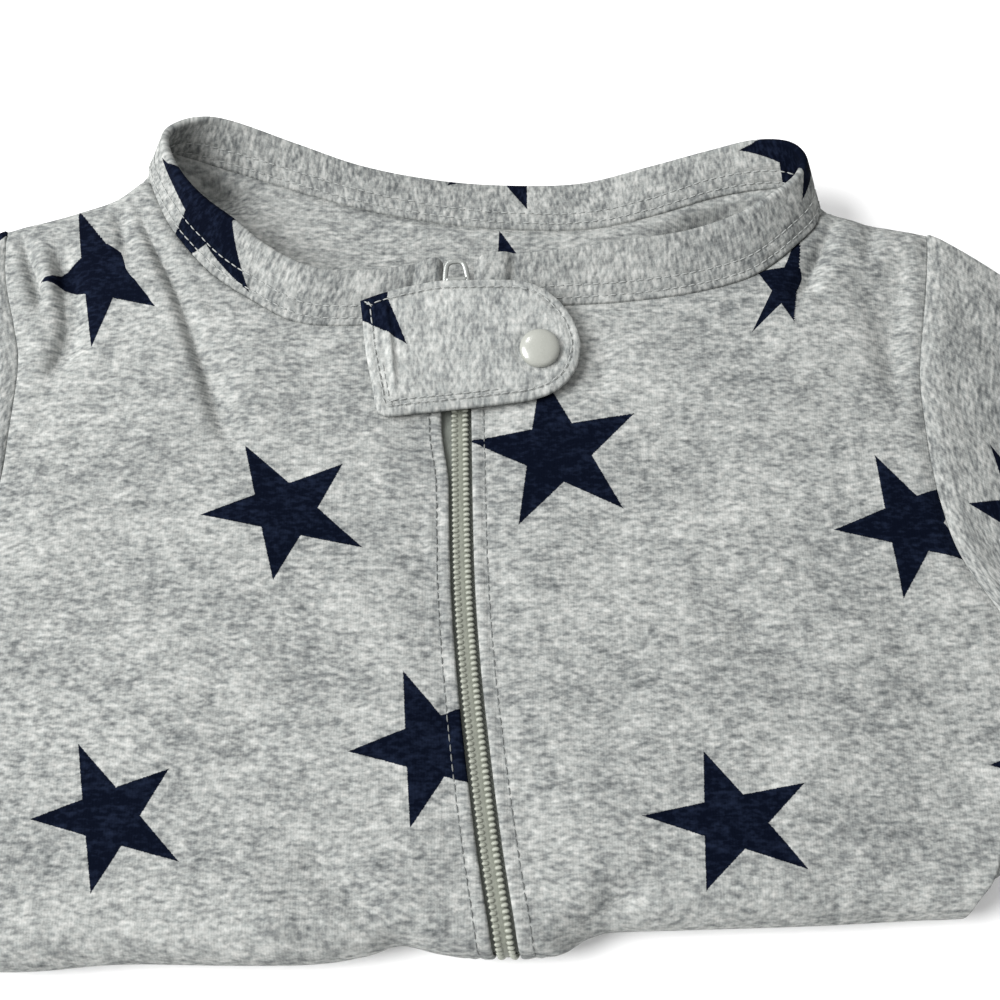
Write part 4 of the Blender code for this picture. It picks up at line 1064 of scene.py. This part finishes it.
def repeatTree():
    # sets a shape along the edges of a mesh, at even steps, each a little different
    tree = bpy.data.node_groups.new("repeatAlongSeam", "GeometryNodeTree")
    inputs = [("Geometry", "Geometry"), ("Shape", "Object"), ("Spacing", "Float"), ("Size Spread", "Float"),
              ("Turn Spread", "Float"), ("Seed", "Int"), ("Finish", "Material")]
    for name, kind in inputs:
        tree.interface.new_socket(name, in_out="INPUT", socket_type="NodeSocket" + kind)
    tree.interface.new_socket("Geometry", in_out="OUTPUT", socket_type="NodeSocketGeometry")
    tap = Tap(tree).node("NodeGroupInput")
    given = {name: tap.other(name) for name, kind in inputs}
    curve = tap.node("GeometryNodeMeshToCurve", None, {"Mesh": given["Geometry"]})
    evenly = tap.node("GeometryNodeResampleCurve", {"mode": "LENGTH"},
                      {"Curve": curve, "Length": given["Spacing"]})
    up = tap.node("GeometryNodeInputNamedAttribute", {"data_type": "FLOAT_VECTOR"}, {"Name": "up"},
                  "Attribute")
    tangent = tap.node("GeometryNodeInputTangent")
    stand = tap.node("FunctionNodeAlignRotationToVector", {"axis": "Z"}, {"Vector": up})
    face = tap.node("FunctionNodeAlignRotationToVector", {"axis": "X", "pivot_axis": "Z"},
                    {"Rotation": stand, "Vector": tangent})
    angle = tap.node("FunctionNodeRandomValue", {"data_type": "FLOAT"},
                     {2: given["Turn Spread"] * -1.0, 3: given["Turn Spread"], "Seed": given["Seed"]}, 1)
    spin = tap.node("FunctionNodeAxisAngleToRotation", None, {"Axis": (0, 0, 1), "Angle": angle})
    turned = tap.node("FunctionNodeRotateRotation", {"rotation_space": "LOCAL"},
                      {"Rotation": face, "Rotate By": spin})
    spread = given["Size Spread"]
    size = tap.node("FunctionNodeRandomValue", {"data_type": "FLOAT"},
                    {2: 1.0 - spread, 3: 1.0 + spread, "Seed": given["Seed"]}, 1)
    shape = tap.node("GeometryNodeObjectInfo", {"transform_space": "ORIGINAL"}, {"Object": given["Shape"]},
                     "Geometry")
    placed = tap.node("GeometryNodeInstanceOnPoints", None,
                      {"Points": evenly, "Instance": shape, "Rotation": turned, "Scale": size})
    real = tap.node("GeometryNodeRealizeInstances", None, {"Geometry": placed})
    painted = tap.node("GeometryNodeSetMaterial", None, {"Geometry": real, "Material": given["Finish"]})
    tap.node("NodeGroupOutput", None, {"Geometry": painted})
    return tree


seamTree = repeatTree()


def repeatAlong(name, runs, shape, finish, spacing, sizeSpread=0.0, turnSpread=0.0, seed=1):
    thing = pathObject(name, runs)
    maker = thing.modifiers.new("repeat", "NODES")
    maker.node_group = seamTree
    wanted = {"Shape": shape, "Spacing": spacing * mm, "Size Spread": sizeSpread, "Turn Spread": turnSpread,
              "Seed": seed, "Finish": finish}
    for socket in seamTree.interface.items_tree:
        if socket.in_out == "INPUT" and socket.name in wanted:
            maker[socket.identifier] = wanted[socket.name]
    bpy.context.view_layer.update()
    made = bpy.data.meshes.new_from_object(thing.evaluated_get(bpy.context.evaluated_depsgraph_get()))
    thing.modifiers.clear()
    thing.data = made
    made.shade_smooth()
    return thing


# ---- finishes
def tone(red, green, blue, share=1.0):
    # a colour as seen on screen, 0 to 255, made linear
    line = [v / 255 for v in (red, green, blue)]
    line = [v / 12.92 if v <= 0.04045 else ((v + 0.055) / 1.055) ** 2.4 for v in line]
    return (*[v * share for v in line], 1.0)


def newFinish(name, roughness, metallic=0.0):
    made = bpy.data.materials.new(name)
    made.use_nodes = True
    shader = made.node_tree.nodes["Principled BSDF"]
    shader.inputs["Roughness"].default_value = roughness
    shader.inputs["Metallic"].default_value = metallic
    return made, shader, Tap(made.node_tree)


def noise(place, size, detail=2.0, seed=0.0, roughness=0.6):
    # uneven patches of the given size, millimetres along each axis
    scale = tuple(1 / (v * mm) for v in size)
    if len(scale) == 2:
        scale = (*scale, 1.0)
    start = (seed, seed / 3, seed / 7)
    moved = place.node("ShaderNodeMapping", None, {"Vector": place, "Scale": scale, "Location": start})
    return moved.node("ShaderNodeTexNoise", {"noise_dimensions": "2D" if len(size) == 2 else "3D"},
                      {"Vector": moved, "Scale": 1.0, "Detail": detail, "Roughness": roughness})


def mixed(share, first, second, blend="MIX"):
    tap = share if isinstance(share, Tap) else first
    return tap.node("ShaderNodeMix", {"data_type": "RGBA", "blend_type": blend, "clamp_factor": True},
                    {0: share, 6: first, 7: second}, 2)


def clamped(first, second, operation):
    tap = first if isinstance(first, Tap) else second
    return tap.node("ShaderNodeMath", {"operation": operation, "use_clamp": True}, {0: first, 1: second})


def bumped(height, strength, depth):
    return height.node("ShaderNodeBump", None,
                       {"Strength": strength, "Distance": depth * mm, "Height": height})


def feed(shader, socket, tap):
    tap.tree.links.new(tap.socket, shader.inputs[socket])


jersey = {
    "brightness": 0.53,
    "shades": [(0.04, (112, 116, 117)), (0.30, (150, 153, 153)), (0.5, (180, 183, 181)),
               (0.96, (234, 235, 232))],
    "marl": {   # size across and along, detail, seed, roughness, weight
        "streak": ((1.7, 0.85), 2.0, 1.3, 0.5, 0.85), "second": ((3.1, 1.35), 1.0, 7.1, 0.6, 0.6),
        "fibre": ((0.8, 0.65), 2.0, 4.7, 0.6, 0.3), "speck": ((1.3, 0.75), 2.0, 8.8, 0.7, 0.3),
        "cloud": ((6.4, 3.2), 2.0, 2.9, 0.6, 0.6), "drift": ((26.0, 17.0), 2.0, 6.1, 0.6, 0.45),
    },
    "wale": 0.62, "waleDepth": 0.016,   # one column of the knit
    "tints": ((0.975, 1.0, 1.0, 1), (1.02, 1.0, 0.985, 1)),
    "navy": (6, 13, 30), "navyLight": (30, 39, 60),
    "edge": 0.13, "ragged": 0.3,        # softness and unevenness of the print's edge
    "roughness": 0.92, "gloss": 0.04,
}


def starInside(place, spot):
    # 1 inside the printed star that spot is measured from, 0 outside, soft between
    part = spot.node("ShaderNodeSeparateXYZ", None, {"Vector": spot})
    partY, waist, fifth = part.other(1), star["waist"], math.pi / 5
    angle = spot.sum("ABSOLUTE", spot.sum("WRAP", spot.sum("ARCTAN2", partY, part), fifth, -fifth))
    radius = spot.sum("SQRT", part * part + partY * partY)
    edgeX, edgeY = waist * math.cos(fifth) - 1, waist * math.sin(fifth)
    edgeLength = math.hypot(edgeX, edgeY)
    away = ((radius * spot.sum("COSINE", angle) - 1) * (edgeY / edgeLength)
            - radius * spot.sum("SINE", angle) * (edgeX / edgeLength))
    uneven = noise(place, (0.5, 0.35), 1.0, 3.3)
    away = away + (uneven - 0.5) * (jersey["ragged"] / star["size"])
    return clamped(0.5, away * (-star["size"] / jersey["edge"]), "ADD")


def jerseyFinish(name, brightness=1.0, contrast=1.0):
    made, shader, tap = newFinish(name, jersey["roughness"])
    shader.inputs["Specular IOR Level"].default_value = jersey["gloss"]
    place = tap.node("ShaderNodeUVMap", {"uv_map": "cloth"})
    marl = {kind: noise(place, *row[:4]) for kind, row in jersey["marl"].items()}
    across = place.node("ShaderNodeSeparateXYZ", None, {"Vector": place})
    wobble = noise(place, (3.0, 5.0), 1.0, 9.2)
    wale = tap.sum("SINE", across * (2 * math.pi / (jersey["wale"] * mm)) + wobble * 5.0)
    mottle = wale * jersey["waleDepth"]
    for kind, row in jersey["marl"].items():
        mottle = mottle + (marl[kind] - 0.5) * row[4]
    level = 0.5 + mottle * contrast
    share = jersey["brightness"] * brightness
    stops = [(at, tone(*shade, share)) for at, shade in jersey["shades"]]
    greys = level.node("ShaderNodeValToRGB", {"stops": stops}, {0: level})
    greys = mixed(1.0, greys, mixed(noise(place, (1.7, 1.1), 1.0, 12.0), *jersey["tints"]), "MULTIPLY")
    worn = clamped((level - 0.42) * 1.9, 1.0, "MULTIPLY")
    navy = mixed(worn, tone(*jersey["navy"], share), tone(*jersey["navyLight"], share))
    inside = starInside(place, tap.node("ShaderNodeUVMap", {"uv_map": "star"}))
    feed(shader, "Base Color", mixed(inside, greys, navy))
    knit = wale * 0.1 + (marl["fibre"] - 0.5) * 1.1 + (marl["streak"] - 0.5) * 0.8
    feed(shader, "Normal", bumped(knit, 0.5, 0.14))
    return made


def plainFinish(name, colour, roughness, metallic=0.0, grain=(0.4,) * 3, spread=0.12, bump=0.03, coat=0.0,
                share=1.0):
    # one colour with a fine uneven grain
    made, shader, tap = newFinish(name, roughness, metallic)
    shader.inputs["Coat Weight"].default_value = coat
    place = tap.node("ShaderNodeTexCoord", None, None, "Object")
    fine = noise(place, grain, 2.0, 2.0)
    coarse = noise(place, tuple(6 * v for v in grain), 2.0, 5.0)
    level = fine * 0.6 + coarse * 0.4
    stops = [(0.3, tone(*colour, share * (1 - spread))), (0.7, tone(*colour, share * (1 + spread)))]
    feed(shader, "Base Color", level.node("ShaderNodeValToRGB", {"stops": stops}, {0: level}))
    feed(shader, "Roughness", roughness + (coarse - 0.5) * 0.2)
    feed(shader, "Normal", bumped(fine, 0.6, bump))
    return made


bodyJersey = jerseyFinish("starJersey")
bandJersey = jerseyFinish("bandJersey", 0.93, 1.1)
sleeveJersey = jerseyFinish("sleeveJersey", 0.98, 1.1)
tabJersey = jerseyFinish("tabJersey", 1.12, 0.92)
tapeWeave = plainFinish("tapeWeave", (104, 108, 102), 0.85, grain=(0.35, 1.2, 0.35), spread=0.3, bump=0.08)
coilNylon = plainFinish("coilNylon", (150, 153, 142), 0.45, grain=(0.3,) * 3, spread=0.15, share=0.85)
# the zip's middle cord, darker than the teeth: partly the cord's own colour, partly painted shade of the
# chain's low middle
coreNylonAndShade = plainFinish("coreNylonAndShade", (108, 111, 101), 0.6, grain=(0.3, 0.9, 0.3), spread=0.25)
snapPearl = plainFinish("snapPearl", (186, 188, 180), 0.28, grain=(0.5,) * 3, spread=0.04, bump=0.01,
                        coat=0.3, share=0.6)
pullMetal = plainFinish("pullMetal", (150, 153, 150), 0.4, 0.6, grain=(0.2,) * 3, spread=0.08)
sewThread = plainFinish("sewThread", (176, 179, 177), 0.85, grain=(0.12,) * 3, spread=0.2, share=0.66)
# grey zip topstitch thread, darkened well below the cloth: painted shade of its sunk stitch line
zipThreadAndShade = plainFinish("zipThreadAndShade", (150, 154, 153), 0.9, grain=(0.12,) * 3, spread=0.2, share=0.42)


# ---- teeth and stitches
def bar(length, wide, high, bend, sides=8, rings=7):
    # a rounded bar along x, arched by bend
    made = []
    for t in np.linspace(-1, 1, rings):
        size = math.sqrt(max(0.06, 1 - t**4))
        middle = bend * (1 - t * t)
        turn = np.linspace(0, 2 * math.pi, sides, endpoint=False)
        made.append([(t * length / 2, math.cos(a) * wide / 2 * size, middle + math.sin(a) * high / 2 * size)
                     for a in turn])
    return made


toothLook = {
    "bar": (1.62, 0.92, 0.85, 0.2),   # length, width, height, arch
    "tilt": 0.16, "apart": 1.24, "rise": 0.16,
}
toothRings = [[(-y, x, z) for x, y, z in ring] for ring in bar(*toothLook["bar"])]   # across the zip
teeth, toothShapes = [], []
for side, sign, late in (("left", -1, 0.0), ("right", 1, 0.5)):   # the two rows mesh, half a pitch apart
    rings = [[(x, y, z - sign * toothLook["tilt"] * y) for x, y, z in ring] for ring in toothRings]
    toothShapes.append(shapeObject(f"tooth{side.capitalize()}", rings))
    run = zipPath(sign * toothLook["apart"], toothLook["rise"], zipStart + late * zipLook["pitch"],
                  zipLook["top"], 0.25)
    teeth.append(repeatAlong(f"zipTeeth{side.capitalize()}", [run], toothShapes[-1], coilNylon,
                             zipLook["pitch"], 0.02, 0.03, 3))
print("zip teeth", [len(t.data.polygons) for t in teeth])

stitchLook = {"pitch": 2.15, "length": 1.75, "thick": 0.34, "spread": 0.06, "lift": 0.62}
threadShape = shapeObject("threadShape", bar(stitchLook["length"], stitchLook["thick"],
                                             stitchLook["thick"] * 0.8, 0.12, 6, 6))


def sew(name, runs, finish, seed, turnSpread=0.06, sizeSpread=stitchLook["spread"], closer=1.0):
    pitch = stitchLook["pitch"] * closer
    return repeatAlong(name, runs, threadShape, finish, pitch, sizeSpread, turnSpread, seed)


def surfaceRun(grid, distance, target, rows):
    # the line on a piece where a distance has a value, taken row by row and lifted onto its face
    normal = gridNormals(grid)
    line, ups = [], []
    for r in rows:
        order = np.argsort(distance[r])
        d = distance[r][order]
        pick = [np.interp(target, d, grid[r, order, k]) for k in range(3)]
        way = np.array([np.interp(target, d, normal[r, order, k]) for k in range(3)])
        way /= np.linalg.norm(way)
        if way[2] < 0 and grid[r, 0, 2] > 6:
            way = -way
        line.append(np.array(pick) + way * stitchLook["lift"])
        ups.append(way)
    return np.array(line), np.array(ups)


zipRuns = []
for side in ("left", "right"):
    _, grid, byZip, zipTopRow = fronts[side]
    zipRuns.append(surfaceRun(grid, byZip, frontLook["stitchIn"], range(22, zipTopRow, 2)))
zipStitches = sew("zipStitches", zipRuns, zipThreadAndShade, 11, 0.05)

seam, up, out, width, along = bandFrame(bandLook["stations"])
bandRuns = []
total = along[-1]
firstNub, lastNub = (nub for nub, puff in bandLook["nubs"])
shown = (along > firstNub + 0.8) & (along < total - lastNub - 0.8)
for w in bandLook["rows"]:
    half = bandHalf(np.full(len(along), w), width, along, total)
    ripple = bandWave(w, along)[:, 0]
    for face in (1, -1):
        line = seam + up * w + out * (face * (half + 0.04) + ripple)[:, None]
        bandRuns.append((line[shown], face * out[shown]))
bandStitches = sew("bandStitches", bandRuns, sewThread, 12, sizeSpread=0.08)

tabRuns = []
allRound, lowerEdge = slice(0, 221), slice(28, 86)
for inset, keep in ((tabLook["stitchIn"], allRound), (tabLook["secondStitch"], lowerEdge)):
    line = tabLine(inset)
    line = np.vstack([line, line[:1]])[keep]
    z = tabHeight(line[:, 0], line[:, 1]) + tabLook["half"] - 0.02
    tabRuns.append((np.column_stack([line, z]), (0, -tabLook["slope"], 1)))
tabStitches = sew("tabStitches", tabRuns, sewThread, 13, closer=0.95)

cuffRuns = []
for side in ("left", "right"):
    _, top = sleeves[side]
    row = []
    for k in range(2, top.shape[1] - 2):
        gone = np.linalg.norm(top[:, k, :2] - top[-1, k, :2], axis=1)
        order = np.argsort(gone)
        row.append([np.interp(sleeveLook["hem"], gone[order], top[order, k, j]) for j in range(3)])
    cuffRuns.append((np.array(row) + (0, 0, stitchLook["lift"]), (0, 0, 1)))
cuffStitches = sew("cuffStitches", cuffRuns, sewThread, 14)
for shape in (threadShape, *toothShapes):
    bpy.data.objects.remove(shape)
print("stitches", [len(t.data.polygons) for t in (zipStitches, bandStitches, tabStitches, cuffStitches)])


# ---- snap cap and pull
def turnedPiece(name, profile, place, slope):
    # a round piece from radius and height pairs, on a surface that rises along y
    turn = np.linspace(0, 2 * math.pi, 96, endpoint=False)
    rings = []
    for r, h in profile:
        x, y = r * np.cos(turn), r * np.sin(turn)
        rings.append(np.column_stack([place[0] + x, place[1] + y, place[2] + h + slope * y]))
    return toMesh(name, *closedTube(np.array(rings)))


snapLook = {"radius": 4.75, "dome": 1.6, "sink": 0.1}
radius = snapLook["radius"]
profile = [(radius - 0.7, 0.0), (radius - 0.2, 0.05), (radius, 0.25), (radius - 0.03, 0.45)]
profile += [((radius - 0.06) * math.cos(a), 0.5 + snapLook["dome"] * math.sin(a) ** 0.9)
            for a in np.linspace(0.06, 1.52, 22)]
seatHeight = tabLook["height"] + tabLook["half"] - snapLook["sink"]
snapDome = turnedPiece("snapDome", profile, (*capPlace, seatHeight), tabLook["slope"])

pullLook = {
    "lean": 12.0, "turn": 4.0, "aside": -0.1,   # degrees up from the slider, degrees round, off its middle
    "wire": (0.68, 0.48),                       # radius across and through
    "bar": (5.3, 2.5),                          # crossbar: how far out, half its length
    "length": 9.9, "around": 12,
}
pivot = np.array(frame["joints"][0]["pos_m"]) / mm - shift


def wireRings(line, closed):
    # round sections along a flat line in the pull's own plane, then leaned and set on its hinge
    ahead = np.roll(line, -1, axis=0) - np.roll(line, 1, axis=0) if closed else np.gradient(line, axis=0)
    ahead = ahead / np.linalg.norm(ahead, axis=1, keepdims=True)
    side = np.stack([ahead[:, 1], -ahead[:, 0]], axis=1)
    a = np.linspace(0, 2 * math.pi, pullLook["around"], endpoint=False)
    flat = line[:, None] + side[:, None] * (np.cos(a) * pullLook["wire"][0])[None, :, None]
    rise = np.broadcast_to(np.sin(a) * pullLook["wire"][1], flat.shape[:2])
    turn, lean = math.radians(pullLook["turn"]), math.radians(pullLook["lean"])
    x = flat[..., 0] * math.cos(turn) - flat[..., 1] * math.sin(turn) + pullLook["aside"]
    y = flat[..., 0] * math.sin(turn) + flat[..., 1] * math.cos(turn)
    leaned = [y * math.cos(lean) - rise * math.sin(lean), y * math.sin(lean) + rise * math.cos(lean)]
    return np.stack([x, *leaned], axis=-1) + pivot


def buildPull():
    # a closed wire: one end under the slider's crown, straight sides, rounded end; and a bar across it
    half = [(0, 0), (1.5, 0), (2.2, 0.4), (2.6, 1.6), (2.8, 3.4), (2.65, 6.0), (2.3, 8.3), (1.8, 9.4),
            (0.9, 9.85)]
    mirrored = [(-x, y) for x, y in half[:0:-1]]
    line = np.array(half + [(0, pullLook["length"])] + mirrored + half[:1], float)
    loop = wireRings(through(line, 121)[:-1], True)
    out, reach = pullLook["bar"]
    n = pullLook["around"]
    cross = wireRings(np.column_stack([np.linspace(-reach, reach, n), np.full(n, out)]), False)
    index = np.arange(len(loop) * n).reshape(-1, n)
    after = np.roll(index, -1, axis=0)
    quads = np.stack([index, np.roll(index, -1, axis=1), np.roll(after, -1, axis=1), after], axis=-1)
    quads = outward(loop.reshape(-1, 3), quads.reshape(-1, 4))
    last = (n - 1) * n
    ends = [[k, k + 1, n - 2 - k, n - 1 - k] for k in range(n // 2 - 1)]
    ends += [[last + k for k in quad[::-1]] for quad in ends]
    more = np.vstack([gridQuads(n, n, around=True)[:, ::-1], ends])
    more = outward(cross.reshape(-1, 3), more) + len(loop) * n
    points = np.vstack([loop.reshape(-1, 3), cross.reshape(-1, 3)])
    return toMesh("zipPullLoop", points, np.vstack([quads, more]))


zipPullLoop = buildPull()
print("snap and pull", len(snapDome.data.polygons), len(zipPullLoop.data.polygons), "faces")


# ---- finishes on pieces, and what each piece is to the frame
def dress(thing, finish, body, slot, *nodes):
    thing.data.materials.clear()
    thing.data.materials.append(finish)
    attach(thing, body)
    if nodes:
        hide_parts(*nodes)


for side in ("left", "right"):
    dress(fronts[side][0], bodyJersey, "garment", "star_jersey", f"front_{side}")
    dress(sleeves[side][0], sleeveJersey, "garment", "star_jersey", f"sleeve_{side}")
    dress(tapes[side], tapeWeave, "garment", "zip_tape", f"zip_tape_{side}")
dress(backCloth, bodyJersey, "garment", "star_jersey", "back")
dress(foldedLegsCloth, bodyJersey, "garment", "star_jersey", "folded_layers")
dress(neckbandCloth, bandJersey, "garment", "band_jersey", "neckband")
dress(chinTabCloth, tabJersey, "garment", "star_jersey", "chin_tab")
dress(zipCore, coreNylonAndShade, "garment", "zip_nylon", "zip_coil")
dress(snapDome, snapPearl, "garment", "snap_enamel", "snap_cap")
dress(zipPullLoop, pullMetal, "pull", "metal", "zip_pull")
for row in teeth:
    dress(row, coilNylon, "garment", "zip_nylon")
dress(zipStitches, zipThreadAndShade, "garment", "star_jersey")
for row in (tabStitches, cuffStitches):
    dress(row, sewThread, "garment", "star_jersey")
dress(bandStitches, sewThread, "garment", "band_jersey")
for name in ("zip_slider", "snap_socket", "snap_stud"):
    node = frame["nodes"][name]
    node.data.materials.clear()
    node.data.materials.append(pullMetal)

for side in ("left", "right"):
    [cuffStitches] if side == "left" else []
print("pieces dressed")


# ---- floor, light and camera
def addFloor():
    half, low = 3.0, -0.0002   # metres; just under the part, so that the two don't flicker
    mesh = bpy.data.meshes.new("paperFloor")
    corners = [(-half, -half, low), (half, -half, low), (half, half, low), (-half, half, low)]
    mesh.from_pydata(corners, [], [(0, 1, 2, 3)])
    made, shader, _ = newFinish("paperWhite", 0.9)
    shader.inputs["Base Color"].default_value = (0.93, 0.93, 0.93, 1)
    mesh.materials.append(made)
    toScene("paperFloor", mesh)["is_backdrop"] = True


studio = {
    "sky": 0.54,
    "lamps": [   # place in metres, size, watts
        ((-1.6, -0.15, 1.4), 1.5, 82.0),
        ((-0.55, 0.75, 1.1), 0.35, 5.0),
        ((0.5, -0.7, 1.0), 0.9, 1.5),
    ],
}


def addLight():
    world = bpy.data.worlds.new("studioWhite")
    world.use_nodes = True
    sky = world.node_tree.nodes["Background"].inputs
    sky["Color"].default_value = (1, 1, 1, 1)
    sky["Strength"].default_value = studio["sky"]
    bpy.context.scene.world = world
    for k, (place, size, watts) in enumerate(studio["lamps"]):
        lamp = bpy.data.lights.new(f"softbox{k}", "AREA")
        lamp.shape, lamp.size, lamp.energy = "DISK", size, watts
        thing = toScene(f"softbox{k}", lamp)
        thing.location = place
        aim = -np.array(place)
        flat = math.hypot(aim[0], aim[1])
        thing.rotation_euler = (math.atan2(flat, -aim[2]), 0, math.atan2(aim[1], aim[0]) - math.pi / 2)


camera = {"look": (8.0, 0.0, 14.0), "elevation": 66.0, "distance": 330.0, "lens": 52.1, "sensor": 36.0}


def addCamera():
    tilt = math.radians(camera["elevation"])
    look = (np.array(camera["look"]) + shift) * mm
    data = bpy.data.cameras.new("camera")
    data.lens, data.sensor_width = camera["lens"], camera["sensor"]
    data.clip_start, data.clip_end = 0.01, 20
    thing = toScene("camera", data)
    thing.location = look + camera["distance"] * mm * np.array([0, -math.cos(tilt), math.sin(tilt)])
    thing.rotation_euler = (math.pi / 2 - tilt, 0, 0)
    bpy.context.scene.camera = thing


addFloor()
addLight()
addCamera()
bpy.context.scene.view_settings.view_transform = "Standard"

low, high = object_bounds()
{"cad": [list(cadLow), list(cadHigh)], "visual": [list(low), list(high)]}
print("box", [round(v * 1000, 1) for v in low], [round(v * 1000, 1) for v in high])
